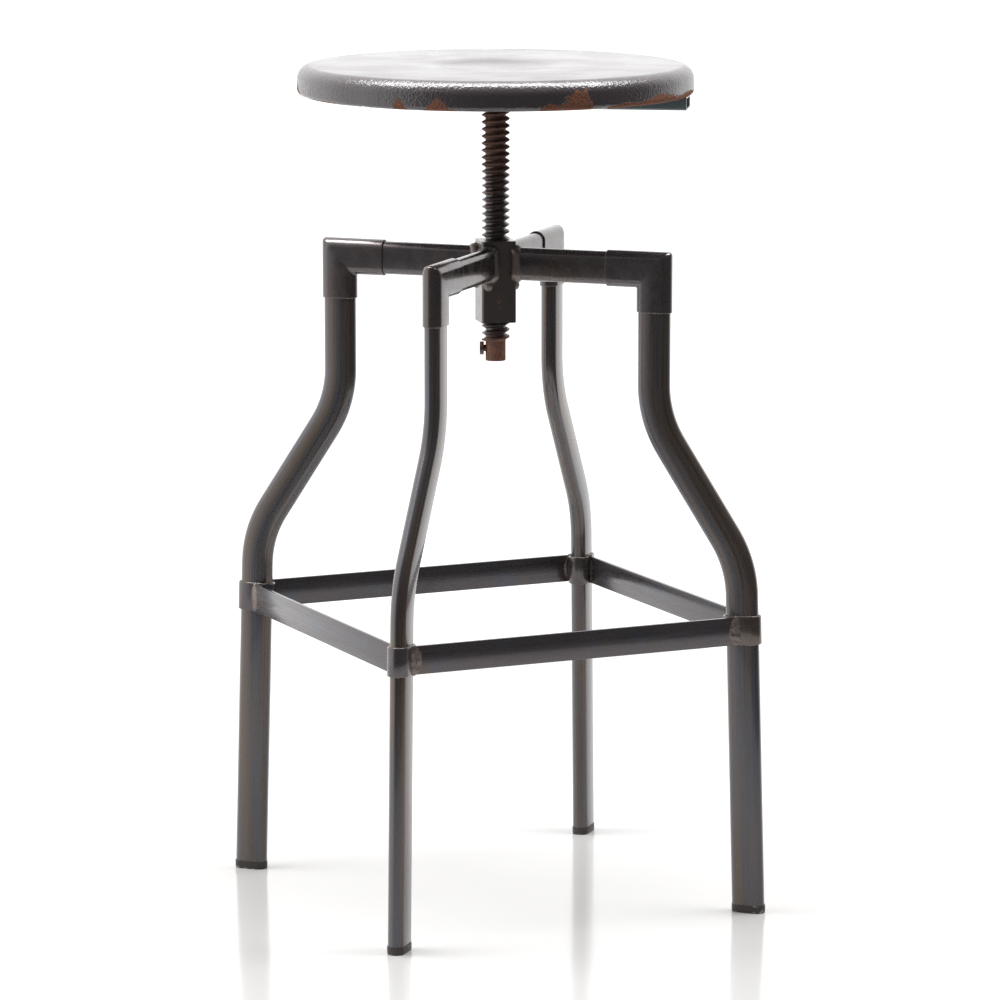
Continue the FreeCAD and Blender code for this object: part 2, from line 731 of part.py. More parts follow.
LAID_DOWN = Rotation(Vector(0, 1, 0), 90)
STOP_PLACE = turned(size("stop_bearing")) * at(0, 0, size("stop_level"), LAID_DOWN)
stop_hole = cylinder("stop_hole", "Sizes.stop_shank / 2", "Sizes.head_foot", STOP_PLACE)
PIN_PLACE = at(0, size("boss_radius"), size("pin_level"), Rotation(Vector(1, 0, 0), 90))
pin_blank = cylinder("pin_blank", "Sizes.pin_dia / 2", "Sizes.boss_dia", PIN_PLACE)
make_spindle()


def make_stop_screw():
    """A slotted screw across the spindle's lower end that keeps it from being wound out."""
    body = new_body("stop_screw_turned")
    section = new_sketch(body, "stop_outline", "XZ_Plane")
    outline(
        section,
        [
            (0, 0),
            ("shank_radius", 0),
            ("shank_radius", "head_foot"),
            ("head_radius", "head_foot"),
            ("head_radius", "head_top"),
            (0, "head_top"),
        ],
    )
    revolve(body, section, "stop_round")
    body.Placement = STOP_PLACE
    keep(body, "stop_screw")


make_stop_screw()


# What carries the seat: washer, boss, cross pin and mounting plate


def upright_cylinder(name, radius, length, level):
    return cylinder(name, radius, length, at(0, 0, size(level)))


def make_seat_mount():
    thick = "Sizes.washer_height"
    ring = upright_cylinder("washer_blank", "Sizes.washer_dia / 2", thick, "thread_top")
    loose = "Sizes.stub_radius + Sizes.washer_play"
    hole = upright_cylinder("washer_hole", loose, thick, "thread_top")
    keep(cut("thrust_washer", ring, [hole]), "thrust_washer")
    bore = upright_cylinder("boss_bore", "Sizes.stub_radius", "Sizes.boss_height", "boss_bottom")
    keep(cut("spindle_boss", boss_blank, [bore, pin_blank]), "spindle_boss")
    pin = cylinder("pin", "Sizes.pin_dia / 2", "Sizes.boss_dia", PIN_PLACE)
    keep(pin, "boss_pin")
    plate = upright_cylinder("plate", "Sizes.plate_dia / 2", "Sizes.plate_height", "boss_top")
    keep(plate, "mounting_plate")


boss_blank = upright_cylinder("boss_blank", "Sizes.boss_radius", "Sizes.boss_height", "boss_bottom")
make_seat_mount()


# Seat: one pressed sheet with a rolled edge, an inward lip and a shallow dish


def make_seat():
    body = new_body("seat_pan")
    section = new_sketch(body, "seat_section", "XZ_Plane")
    outline(
        section,
        [
            (0, "dish_floor"),
            ("dish_floor_edge", "dish_floor"),
            ("dish_edge", "seat_top"),
            ("seat_radius", "seat_top"),
            ("seat_radius", "rim_bottom"),
            ("lip_inside", "rim_bottom"),
            ("lip_inside", "lip_top"),
            ("seat_inside", "lip_top"),
            ("seat_inside", "roof"),
            ("dish_edge", "roof"),
            ("dish_floor_edge", "plate_top"),
            (0, "plate_top"),
        ],
    )
    revolve(body, section, "seat_sheet")
    round_edges(body, ring_at("seat_radius", "seat_top"), "edge_round", "seat_edge")
    round_edges(body, ring_at("seat_inside", "roof"), "inner_edge_round", "seat_edge_inside")
    round_edges(body, ring_at("seat_radius", "rim_bottom"), "lip_round", "seat_lip")
    round_edges(body, ring_at("seat_inside", "lip_top"), "inner_lip_round", "seat_lip_inside")
    keep(body, "seat_pan")


make_seat()


# Backrest socket: a rectangular tube from the boss to the seat's edge, open at its end


def make_socket():
    skin = doc.addObject("Part::Box", "socket_skin")
    skin.setExpression("Length", "Sizes.socket_reach")
    skin.setExpression("Width", "Sizes.socket_width")
    skin.setExpression("Height", "Sizes.socket_height")
    hollow = doc.addObject("Part::Box", "socket_hollow")
    hollow.setExpression("Length", "Sizes.socket_reach")
    hollow.setExpression("Width", "Sizes.socket_width - 2 * Sizes.socket_wall")
    hollow.setExpression("Height", "Sizes.socket_height - 2 * Sizes.socket_wall")
    bottom, wall = size("socket_bottom"), size("socket_wall")
    half = size("socket_width") / 2
    skin.Placement = at(0, -half, bottom)
    hollow.Placement = at(0, wall - half, bottom + wall)
    tube = cut("backrest_socket", skin, [hollow, boss_blank])
    keep(tube, "backrest_socket", size("socket_bearing"))


make_socket()


# Welds

# Turns a section drawn on XY to face along +X, its y pointing up
ALONG_ARM = Rotation(Vector(1, 1, 1), 120)


def make_seat_weld():
    """A fillet round the boss, under the mounting plate."""
    cone = doc.addObject("Part::Cone", "seat_weld_cone")
    cone.setExpression("Radius1", "Sizes.boss_radius")
    cone.setExpression("Radius2", "Sizes.boss_radius + Sizes.fillet")
    cone.setExpression("Height", "Sizes.fillet")
    cone.Placement = at(0, 0, size("boss_top") - size("fillet"))
    keep(cut("seat_weld", cone, [boss_blank]), "seat_weld")


def make_hub_welds():
    """An upright bead in each corner between an arm's side and the hub."""
    arm_blank = oval_bar(
        "arm_blank",
        [("tube_depth", "tube_width")],
        "Sizes.arm_end",
        at(0, 0, size("arm_level"), ALONG_ARM),
        upright_oval=True,
    )
    along = size("tube_width") / 2
    low = size("arm_level") - size("hub_bead_height") / 2
    beads = []
    for side, turn in LEGS.items():
        for hand, sign in (("right", -1), ("left", 1)):
            facing = math.radians(45 - sign * size("hub_turn"))
            reach = size("hub_side") / 2 - along * math.sin(facing)
            place = at(reach / math.cos(facing), sign * along, low)
            name = f"hub_weld_{side}_{hand}"
            blank = cylinder(f"{name}_blank", "Sizes.bead", "Sizes.hub_bead_height", place)
            bead = cut(name, blank, [hub_blank, arm_blank])
            bead.Placement = turned(turn)
            beads.append(bead)
    keep(group("hub_welds", beads), "hub_welds")


def make_ring_welds():
    """An upright bead outside each corner between a collar and a bar."""
    bar = bar_blank("ring_weld_bar")
    along = size("collar_width") / 2
    across = size("bar_outside") * math.sqrt(2) - along
    low = size("ring_level") - size("bar_height") / 2
    beads = []
    for side, turn in LEGS.items():
        for end, collar, spot in (
            ("start", collar_blank, at(across, along, low)),
            ("end", next_collar_blank, at(along, across, low)),
        ):
            name = f"ring_weld_{side}_{end}"
            blank = cylinder(f"{name}_blank", "Sizes.bead", "Sizes.bar_height", spot)
            bead = cut(name, blank, [collar, bar])
            bead.Placement = turned(turn)
            beads.append(bead)
    keep(group("ring_welds", beads), "ring_welds")


def make_elbow_seams():
    """A thin seam round each tube where it enters its elbow."""
    ovals = [("seam_depth", "seam_width"), ("tube_depth", "tube_width")]
    along_arm = at(size("elbow_start") - size("seam"), 0, size("arm_level"), ALONG_ARM)
    along_leg = at(size("top_reach"), 0, size("elbow_foot") - size("seam"))
    seams = []
    for side, turn in LEGS.items():
        name = f"elbow_seam_{side}"
        here = turned(turn)
        seams.append(oval_bar(f"{name}_arm", ovals, "Sizes.seam", here * along_arm, True))
        seams.append(oval_bar(f"{name}_leg", ovals, "Sizes.seam", here * along_leg))
    keep(group("elbow_seams", seams), "elbow_seams")


make_seat_weld()
make_hub_welds()
make_ring_welds()
make_elbow_seams()


# Check, then write


def check(thing):
    for mark in ("Invalid", "Error"):
        if mark in thing.State:
            raise ValueError(f"{thing.Label} failed: {thing.State}")


doc.recompute()
for thing in doc.Objects:
    check(thing)
for thing in subparts:
    shape = thing.Shape
    if shape.isNull() or not shape.isValid() or not shape.Solids:
        raise ValueError(f"{thing.Label} has no valid solid")
    shape.exportStep(f"parts/{thing.Label}.step")
    box = shape.BoundBox
    print(f"{thing.Label}: {len(shape.Solids)} solid(s), {shape.Volume:.0f} mm3")
    print(f"    Z {box.ZMin:.2f} to {box.ZMax:.2f}")
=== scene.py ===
import math

import bmesh
import bpy
from bpy.props import FloatProperty, FloatVectorProperty, IntProperty, PointerProperty
from mathutils import Matrix, Vector


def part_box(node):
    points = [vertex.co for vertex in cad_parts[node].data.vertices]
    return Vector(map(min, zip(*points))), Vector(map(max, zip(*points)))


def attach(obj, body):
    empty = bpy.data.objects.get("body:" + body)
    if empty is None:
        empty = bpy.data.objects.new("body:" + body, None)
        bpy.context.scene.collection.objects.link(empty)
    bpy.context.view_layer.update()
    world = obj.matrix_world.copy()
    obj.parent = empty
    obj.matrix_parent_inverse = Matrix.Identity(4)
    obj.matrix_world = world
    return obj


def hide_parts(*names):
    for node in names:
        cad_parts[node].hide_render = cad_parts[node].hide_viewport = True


bl_info = {
    "name": "Machinist stool",
    "version": (1, 0, 0),
    "blender": (4, 5, 0),
    "location": "3D View > Sidebar > Stool",
    "description": "Dresses the stool's frame, screw and seat, and sets up the studio round them",
    "category": "Object",
}

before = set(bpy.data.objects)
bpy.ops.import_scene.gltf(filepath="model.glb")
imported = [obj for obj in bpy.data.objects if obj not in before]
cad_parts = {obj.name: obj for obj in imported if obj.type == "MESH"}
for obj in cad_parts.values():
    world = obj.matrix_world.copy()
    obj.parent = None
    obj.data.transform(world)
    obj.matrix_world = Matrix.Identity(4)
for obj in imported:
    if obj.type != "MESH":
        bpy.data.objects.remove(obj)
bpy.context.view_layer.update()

MM = 0.001
# Places nearer than the first count as one; the mitre and the seat's closing ring allow the second
NEAR, CLOSE = 1e-6, 1e-5
# Legs stand on +X, +Y, -X and -Y
LEGS = {"right": 0, "rear": 90, "left": 180, "front": 270}
# Each footrest bar runs from one leg to the next
BARS = {"rear_right": 0, "rear_left": 90, "front_left": 180, "front_right": 270}

SEAT_LOW, SEAT_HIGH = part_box("seat_pan")
PLATE_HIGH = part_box("mounting_plate")[1]
ELBOW_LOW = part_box("elbow_right")[0]
ARM_LOW, ARM_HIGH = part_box("arm_right")
LEG_LOW, LEG_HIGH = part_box("leg_right")
CAP_LOW, CAP_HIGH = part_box("foot_cap_right")
HUB_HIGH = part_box("hub_nut")[1]
BAR_LOW, BAR_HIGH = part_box("footrest_bar_rear_right")
STOP_LOW, STOP_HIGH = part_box("stop_screw")
SPINDLE_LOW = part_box("spindle")[0]

ARM_LEVEL = (ARM_LOW[2] + ARM_HIGH[2]) / 2
TUBE_DEPTH = ARM_HIGH[2] - ARM_LOW[2]
TUBE_WIDTH = ARM_HIGH[1] - ARM_LOW[1]
RING_LEVEL = (BAR_LOW[2] + BAR_HIGH[2]) / 2
BAR_HEIGHT = BAR_HIGH[2] - BAR_LOW[2]


def linear(code):
    """The linear colour of an sRGB hex code."""
    parts = [int(code[start:start + 2], 16) / 255 for start in (1, 3, 5)]
    return [part / 12.92 if part <= 0.04045 else ((part + 0.055) / 1.055) ** 2.4 for part in parts]


# Sizes and colours


def number(name, value, description, low=0, unit="NONE"):
    return FloatProperty(name=name, default=value, min=low, unit=unit, description=description)


def length(name, value, description):
    return number(name, value, description, unit="LENGTH")


def angle(name, degrees, description):
    return FloatProperty(name=name, default=math.radians(degrees), unit="ROTATION", description=description)


def colour(name, code, description):
    return FloatVectorProperty(
        name=name, default=linear(code), size=3, min=0, max=1, subtype="COLOR", description=description
    )


class TubeSizes(bpy.types.PropertyGroup):
    """The flat-oval tube of arms and legs, and the bends of the legs."""

    wall: length("Wall", 1.5 * MM, "Thickness of the tube's wall")
    top_reach: length("Top reach", 151 * MM, "Spindle axis to the upper leg's centre line")
    foot_reach: length("Foot reach", 243.3 * MM, "Spindle axis to the leg's centre line at the floor")
    bend_level: length("Bend level", 446.3 * MM, "Height where the leg's upper and middle lines cross")
    bend_radius: length("Bend radius", 100 * MM, "Centre-line radius of both bends")
    slope: angle("Slope", 33, "Lean of the leg between its two bends")
    splay: angle("Splay", 1.66, "Lean of the lower leg")


class ElbowSizes(bpy.types.PropertyGroup):
    """The mitred sleeves over the tube ends."""

    wall: length("Wall", 1.5 * MM, "Thickness of the sleeve's wall")
    outer_round: length("Outer rounding", 3 * MM, "Rounding of the elbow's outer corner")
    inner_round: length("Inner rounding", 8 * MM, "Rounding of the elbow's inner corner")
    seam: length("Seam", 0.7 * MM, "Radius of the seam round each mouth")


class FootrestSizes(bpy.types.PropertyGroup):
    """The collars and flat bars of the footrest."""

    collar_wall: length("Collar wall", 1.2 * MM, "Thickness of the collars")
    bar_width: length("Bar thickness", 3.2 * MM, "Thickness of the flat bars")
    bar_offset: length("Bar offset", 5 * MM, "Bars lie this far outside the line between two legs")
    edge: length("Edge", 0.45 * MM, "Rounding of the bars' and collars' edges")


class WeldSizes(bpy.types.PropertyGroup):
    """The hand-laid weld beads."""

    hub_side: length("Hub side", 31.75 * MM, "Square hub, across the flats")
    hub_turn: angle("Hub turn", 11.6, "The hub's upright edges stand this far clockwise of the arms")
    hub_bead: length("Hub bead", 6.5 * MM, "Radius of the beads round the arms at the hub")
    hub_sunk: length("Hub bead depth", 3.6 * MM, "The middle of those beads lies this deep in the arm")
    bore: length("Bead cut", 12.95 * MM, "Inside the hub the beads are cut off this far from the axis")
    drip: length("Drip", 6 * MM, "Height of the weld drip under each arm")
    ring_bead: length("Collar bead", 0.5 * MM, "Radius of the beads round the collars")
    patch_length: length("Patch length", 17 * MM, "Length of a weld patch along its footrest bar")
    patch_rise: length("Patch rise", 1.3 * MM, "A weld patch stands this far off its bar")
    lump: length("Lump", 1.1 * MM, "How far the lumps stand out")
    lump_size: length("Lump size", 3.5 * MM, "Distance from one lump to the next")


class SeatSizes(bpy.types.PropertyGroup):
    """The pressed sheet of the seat."""

    sheet: length("Sheet", 2 * MM, "Thickness of the sheet")
    edge_round: length("Edge rounding", 12 * MM, "Rounding of the seat's upper edge")
    lip_width: length("Lip width", 14 * MM, "Width of the lip turned in under the edge")
    lip_round: length("Lip rounding", 5 * MM, "Rounding of the seat's lower edge")
    dish: length("Dish", 60 * MM, "Radius of the shallow dish")
    dish_slope: length("Dish slope", 22 * MM, "Width of the dish's sloping side")
    steps: IntProperty(name="Steps", default=192, min=24, description="Steps round the seat")


class SmallSizes(bpy.types.PropertyGroup):
    """Foot caps, stop screw and backrest socket."""

    cap_round: length("Cap rounding", 1.2 * MM, "Rounding of the foot cap's lower edge")
    cap_edge: length("Cap edge", 0.5 * MM, "Width of the border round the foot cap's top")
    stop_head: length("Stop screw head", 3.8 * MM, "Height of the stop screw's head")
    head_round: length("Head rounding", 0.5 * MM, "Rounding of the stop screw's edges")
    slot: length("Slot", 1.4 * MM, "Width of the slot in the stop screw's head")
    slot_depth: length("Slot depth", 1.2 * MM, "Depth of that slot")
    socket_wall: length("Socket wall", 1.5 * MM, "Wall of the backrest socket")
    socket_width: length("Socket width", 30 * MM, "Backrest socket, across")
    socket_round: length("Socket rounding", 2.2 * MM, "Rounding of the socket's long edges")
    socket_edge: length("Socket edge", 0.35 * MM, "Rounding of the socket's open end")
    socket_bearing: angle("Socket bearing", 12, "Direction of the socket from +X")
    stop_bearing: angle("Stop screw bearing", 200, "Direction of the stop screw from +X")


class Colours(bpy.types.PropertyGroup):
    """Base colours of the finishes."""

    steel: colour("Steel", "#5F5957", "Raw steel under clear lacquer")
    sheet: colour("Sheet steel", "#565153", "Raw sheet and bar of elbows, collars and footrest")
    steel_brown: colour("Brown streaks", "#605145", "Straw-brown heat streaks of the tube")
    steel_blue: colour("Blue streaks", "#505560", "Blue heat streaks of the tube")
    oiled: colour("Oiled steel", "#504946", "Oily dark steel of hub and screw")
    rust: colour("Rust", "#8F5E48", "Dry orange-brown rust")
    rust_dark: colour("Dark rust", "#5E473E", "Old dark rust")
    weld: colour("Weld", "#7A706B", "Bare weld metal")
    seat: colour("Seat lacquer", "#3F393C", "Dark seat lacquer")
    chip: colour("Chipped edge", "#D8D2CC", "Pale edge where the lacquer has chipped")
    enamel: colour("Socket enamel", "#636F72", "Blue-black enamel of the socket")
    plastic: colour("Cap plastic", "#3A3332", "Black moulded foot caps")
    scuff: colour("Scuff", "#B9B4AE", "Pale scuffs on the foot caps")
    floor: colour("Floor", "#B4B3B2", "Pale studio floor")


class StageSettings(bpy.types.PropertyGroup):
    """Camera and light."""

    azimuth: angle("Azimuth", 20.242, "Camera's bearing, 0 looks along +Y")
    elevation: angle("Elevation", 9.722, "Camera's height above the horizon")
    distance: length("Distance", 4.777, "Camera to the point it looks at")
    aim: FloatVectorProperty(
        name="Aim",
        default=(0.0057, -0.004, 0.3634),
        size=3,
        unit="LENGTH",
        description="The point that the camera looks at",
    )
    lens: number("Lens", 189.76, "Focal length on a 36 mm sensor", 1, "CAMERA")
    bright: number("Bright side", 1.35, "Brightness of the studio's bright side")
    dark: number("Dark side", 0.1, "Brightness of the studio's dark side")
    swing: angle("Bright side's turn", 31, "The bright side lies this far left of straight behind")
    overhead: number("Overhead", 170, "Power of the overhead strip light", unit="POWER")
    strip_level: length("Strip level", 2.6, "Height of the strip light")
    strip_length: length("Strip length", 4, "Length of the strip light, across the view")
    strip_width: length("Strip width", 0.9, "Width of the strip light")
    floor_radius: length("Floor", 1.15, "Radius of the floor")


SETTINGS = {
    "stool_tube": TubeSizes,
    "stool_elbow": ElbowSizes,
    "stool_footrest": FootrestSizes,
    "stool_weld": WeldSizes,
    "stool_seat": SeatSizes,
    "stool_small": SmallSizes,
    "stool_colours": Colours,
    "stool_stage": StageSettings,
}


# Finishes


def new_material(name):
    """An empty node material, its surface shader and its node tree."""
    material = bpy.data.materials.new(name)
    material.use_nodes = True
    tree = material.node_tree
    tree.nodes.clear()
    output = tree.nodes.new("ShaderNodeOutputMaterial")
    shader = tree.nodes.new("ShaderNodeBsdfPrincipled")
    tree.links.new(shader.outputs["BSDF"], output.inputs["Surface"])
    return material, shader, tree


def add_node(tree, kind, inputs, output=0, **settings):
    """Adds a node with its settings, sets or links its inputs and gives back one output."""
    node = tree.nodes.new(kind)
    for name, value in settings.items():
        setattr(node, name, value)
    for key, value in inputs.items():
        if isinstance(value, bpy.types.NodeSocket):
            tree.links.new(value, node.inputs[key])
        else:
            node.inputs[key].default_value = value
    return node.outputs[output]


def put(tree, shader, **values):
    """Sets or links the shader's own sockets; a low line stands for a space."""
    for key, value in values.items():
        socket = shader.inputs[key.replace("_", " ")]
        if isinstance(value, bpy.types.NodeSocket):
            tree.links.new(value, socket)
        else:
            socket.default_value = value


def opaque(value):
    """A colour property as four numbers."""
    return (*value, 1.0)


def ramp(tree, value, low, high, to_low=0.0, to_high=1.0):
    """A soft step from to_low at low to to_high at high."""
    inputs = {"Value": value, 1: low, 2: high, 3: to_low, 4: to_high}
    return add_node(tree, "ShaderNodeMapRange", inputs, interpolation_type="SMOOTHSTEP")


def mix(tree, factor, first, second):
    """A colour between the first and the second."""
    inputs = {0: factor, 6: first, 7: second}
    return add_node(tree, "ShaderNodeMix", inputs, output=2, data_type="RGBA")


def tube_steel(streaked):
    """Raw steel under clear lacquer: streaked on the legs' tube, clouded on sheet and arms.

    Streaks are faint brown and blue and follow the tube's bends, clouds are brown. The lacquer is
    glossy and slightly rippled, so that side light shows as a pale band.
    """
    colours = bpy.context.scene.stool_colours
    material, shader, tree = new_material("lacquered_steel_tube" if streaked else "lacquered_steel_sheet")
    if streaked:
        place = add_node(tree, "ShaderNodeAttribute", {}, output="Vector", attribute_name="straight")
        # Streaks 2.5 mm wide and 200 mm long, tints 9 mm wide and 250 mm long
        fine, broad = (400, 400, 5), (110, 110, 4)
    else:
        place = add_node(tree, "ShaderNodeTexCoord", {}, output="Object")
        # Clouds of 12 mm, tints of 45 mm
        fine, broad = (85, 85, 85), (22, 22, 22)
    along = add_node(tree, "ShaderNodeMapping", {"Vector": place, "Scale": fine})
    streaks = add_node(
        tree, "ShaderNodeTexNoise", {"Vector": along, "Scale": 1.0, "Detail": 4.0, "Roughness": 0.6}
    )
    wide = add_node(tree, "ShaderNodeMapping", {"Vector": place, "Scale": broad})
    tint = add_node(tree, "ShaderNodeTexNoise", {"Vector": wide, "Scale": 1.0, "Detail": 2.0})
    grain = add_node(tree, "ShaderNodeTexNoise", {"Vector": place, "Scale": 900.0, "Detail": 2.0})
    if streaked:
        base = mix(tree, ramp(tree, tint, 0.38, 0.6), opaque(colours.steel_blue), opaque(colours.steel_brown))
        base = mix(tree, ramp(tree, streaks, 0.35, 0.65), base, opaque(colours.steel))
        base = mix(tree, ramp(tree, streaks, 0.3, 0.46, 0.35, 0.0), base, opaque(colours.oiled))
    else:
        clouds = ramp(tree, tint, 0.4, 0.75, 0.0, 0.5)
        base = mix(tree, clouds, opaque(colours.sheet), opaque(colours.steel_brown))
    rough = ramp(tree, streaks, 0.25, 0.75, 0.2, 0.34)
    height = add_node(tree, "ShaderNodeMath", {0: streaks, 1: grain}, operation="ADD")
    bump = add_node(tree, "ShaderNodeBump", {"Height": height, "Strength": 0.12, "Distance": 0.0004})
    put(tree, shader, Base_Color=base, Metallic=0.75, Roughness=rough, Normal=bump)
    put(tree, shader, Coat_Weight=0.7, Coat_Roughness=0.08)
    return material


def bar_steel():
    """Smooth rolled flat bar under clear lacquer, with straw-brown heat beside the welds."""
    colours = bpy.context.scene.stool_colours
    material, shader, tree = new_material("lacquered_flat_bar")
    place = add_node(tree, "ShaderNodeTexCoord", {}, output="Object")
    # Rolling marks run level: 2 mm high, 60 mm long
    flat = add_node(tree, "ShaderNodeMapping", {"Vector": place, "Scale": (16, 16, 500)})
    marks = add_node(tree, "ShaderNodeTexNoise", {"Vector": flat, "Scale": 1.0, "Detail": 3.0})
    clouds = add_node(tree, "ShaderNodeTexNoise", {"Vector": place, "Scale": 40.0, "Detail": 3.0})
    # The smaller of |x| and |y| is the distance from the nearest leg
    folded = add_node(tree, "ShaderNodeVectorMath", {0: place}, operation="ABSOLUTE")
    parts = add_node(tree, "ShaderNodeSeparateXYZ", {0: folded}).node.outputs
    smaller = add_node(tree, "ShaderNodeMath", {0: parts[0], 1: parts[1]}, operation="MINIMUM")
    wander = add_node(tree, "ShaderNodeMath", {0: clouds, 1: 0.02, 2: smaller}, operation="MULTIPLY_ADD")
    heat = ramp(tree, wander, 0.02, 0.032, 0.8, 0.0)
    base = mix(tree, ramp(tree, clouds, 0.2, 0.5), opaque(colours.steel_blue), opaque(colours.sheet))
    base = mix(tree, heat, base, opaque(colours.steel_brown))
    bump = add_node(tree, "ShaderNodeBump", {"Height": marks, "Strength": 0.08, "Distance": 0.0003})
    put(tree, shader, Base_Color=base, Metallic=0.75, Roughness=ramp(tree, marks, 0.3, 0.7, 0.22, 0.32))
    put(tree, shader, Normal=bump, Coat_Weight=0.5, Coat_Roughness=0.15)
    return material


def oiled_steel(name, rusty, levels=None):
    """Oily dark steel with brown rust where hands and water reach.

    Rust is matt and grainy, oil is dark with a soft sheen. With levels, rust also covers what lies
    below the first height, and above the second.
    """
    colours = bpy.context.scene.stool_colours
    material, shader, tree = new_material(name)
    place = add_node(tree, "ShaderNodeTexCoord", {}, output="Object")
    # Rust blooms of about 8 mm with a 1 mm grain
    blooms = add_node(
        tree, "ShaderNodeTexNoise", {"Vector": place, "Scale": 120.0, "Detail": 5.0, "Roughness": 0.65}
    )
    grain = add_node(tree, "ShaderNodeTexNoise", {"Vector": place, "Scale": 900.0, "Detail": 3.0})
    mask = ramp(tree, blooms, 0.62 - rusty, 0.72 - rusty)
    if levels:
        level = add_node(tree, "ShaderNodeSeparateXYZ", {0: place}, output="Z")
        low = ramp(tree, level, levels[0] - 2 * MM, levels[0] + 6 * MM, 1.0, 0.0)
        high = ramp(tree, level, levels[1] - 20 * MM, levels[1] + 20 * MM, 0.0, 0.65)
        most = add_node(tree, "ShaderNodeMath", {0: low, 1: high}, operation="MAXIMUM")
        mottle = ramp(tree, blooms, 0.3, 0.55, 0.35, 1.0)
        spread = add_node(tree, "ShaderNodeMath", {0: most, 1: mottle}, operation="MULTIPLY")
        mask = add_node(tree, "ShaderNodeMath", {0: mask, 1: spread}, operation="MAXIMUM")
    rust = mix(tree, ramp(tree, grain, 0.35, 0.65), opaque(colours.rust_dark), opaque(colours.rust))
    base = mix(tree, mask, opaque(colours.oiled), rust)
    rough = ramp(tree, mask, 0.0, 1.0, 0.38, 0.85)
    metal = ramp(tree, mask, 0.0, 1.0, 0.7, 0.05)
    height = add_node(tree, "ShaderNodeMath", {0: blooms, 1: grain}, operation="ADD")
    bump = add_node(tree, "ShaderNodeBump", {"Height": height, "Strength": 0.35, "Distance": 0.0006})
    oil = ramp(tree, mask, 0.0, 0.6, 0.8, 0.0)
    put(tree, shader, Base_Color=base, Metallic=metal, Roughness=rough, Normal=bump)
    put(tree, shader, Coat_Weight=oil, Coat_Roughness=0.15)
    return material


def weld_metal():
    """Hand-laid weld under clear lacquer: glossy ripples, dark in the dips, brown round the edges."""
    colours = bpy.context.scene.stool_colours
    material, shader, tree = new_material("lacquered_weld_bead")
    place = add_node(tree, "ShaderNodeTexCoord", {}, output="Object")
    # Weld ripples of 2 mm
    ripples = add_node(tree, "ShaderNodeTexNoise", {"Vector": place, "Scale": 420.0, "Detail": 3.0})
    blooms = add_node(tree, "ShaderNodeTexNoise", {"Vector": place, "Scale": 110.0, "Detail": 3.0})
    base = mix(tree, ramp(tree, ripples, 0.2, 0.5), opaque(colours.oiled), opaque(colours.weld))
    base = mix(tree, ramp(tree, blooms, 0.5, 0.8, 0.0, 0.6), base, opaque(colours.rust_dark))
    bump = add_node(tree, "ShaderNodeBump", {"Height": ripples, "Strength": 0.45, "Distance": 0.0008})
    put(tree, shader, Base_Color=base, Metallic=0.75, Roughness=ramp(tree, ripples, 0.3, 0.7, 0.35, 0.55))
    put(tree, shader, Normal=bump, Coat_Weight=0.4, Coat_Roughness=0.2)
    return material


def seat_lacquer():
    """Dark lacquer brushed over pressed steel.

    Glossy, so that the studio shows in it nearly white at a flat angle; it has fine orange peel,
    soft dents, and rust with pale broken edges along the rim, from the wear attribute.
    """
    colours = bpy.context.scene.stool_colours
    material, shader, tree = new_material("seat_lacquer_over_steel")
    place = add_node(tree, "ShaderNodeTexCoord", {}, output="Object")
    wear = add_node(tree, "ShaderNodeAttribute", {}, output="Vector", attribute_name="wear")
    parts = add_node(tree, "ShaderNodeSeparateXYZ", {0: wear}).node.outputs
    # Ragged edges of 3 mm, rust grain of 1 mm, orange peel of 2 mm, dents of 60 mm
    ragged = add_node(
        tree, "ShaderNodeTexNoise", {"Vector": place, "Scale": 260.0, "Detail": 5.0, "Roughness": 0.7}
    )
    grain = add_node(tree, "ShaderNodeTexNoise", {"Vector": place, "Scale": 900.0, "Detail": 3.0})
    peel = add_node(tree, "ShaderNodeTexNoise", {"Vector": place, "Scale": 480.0, "Detail": 2.0})
    dents = add_node(tree, "ShaderNodeTexNoise", {"Vector": place, "Scale": 16.0, "Detail": 1.0})
    uneven = add_node(tree, "ShaderNodeMath", {0: ragged, 1: 1.6, 2: -0.8}, operation="MULTIPLY_ADD")
    edge = add_node(tree, "ShaderNodeMath", {0: parts[0], 1: uneven}, operation="ADD")
    rusted = ramp(tree, edge, 0.0, 0.06)
    chipped = add_node(tree, "ShaderNodeMath", {0: parts[1], 1: uneven}, operation="ADD")
    pale = ramp(tree, chipped, 0.0, 0.05)
    rust = mix(tree, ramp(tree, grain, 0.35, 0.65), opaque(colours.rust_dark), opaque(colours.rust))
    base = mix(tree, pale, opaque(colours.seat), opaque(colours.chip))
    base = mix(tree, rusted, base, rust)
    rough = ramp(tree, rusted, 0.0, 1.0, 0.5, 0.85)
    # Handled patches of 50 mm shine less
    smudges = add_node(tree, "ShaderNodeTexNoise", {"Vector": place, "Scale": 20.0, "Detail": 3.0})
    shine = ramp(tree, smudges, 0.35, 0.65, 0.78, 0.93)
    bare = ramp(tree, rusted, 0.0, 1.0, 1.0, 0.0)
    coat = add_node(tree, "ShaderNodeMath", {0: bare, 1: shine}, operation="MULTIPLY")
    step = add_node(tree, "ShaderNodeMath", {0: rusted, 1: -0.6, 2: peel}, operation="MULTIPLY_ADD")
    marks = ramp(tree, parts[2], 0.0, 1.0, 0.12, 1.0)
    fine = add_node(tree, "ShaderNodeBump", {"Height": step, "Strength": marks, "Distance": 0.0006})
    waves = {"Height": dents, "Strength": 0.12, "Distance": 0.004, "Normal": fine}
    bump = add_node(tree, "ShaderNodeBump", waves)
    put(tree, shader, Base_Color=base, Roughness=rough, Specular_IOR_Level=0.12, Normal=bump)
    put(tree, shader, Coat_Weight=coat, Coat_Roughness=0.12, Coat_IOR=1.7, Coat_Normal=bump)
    return material


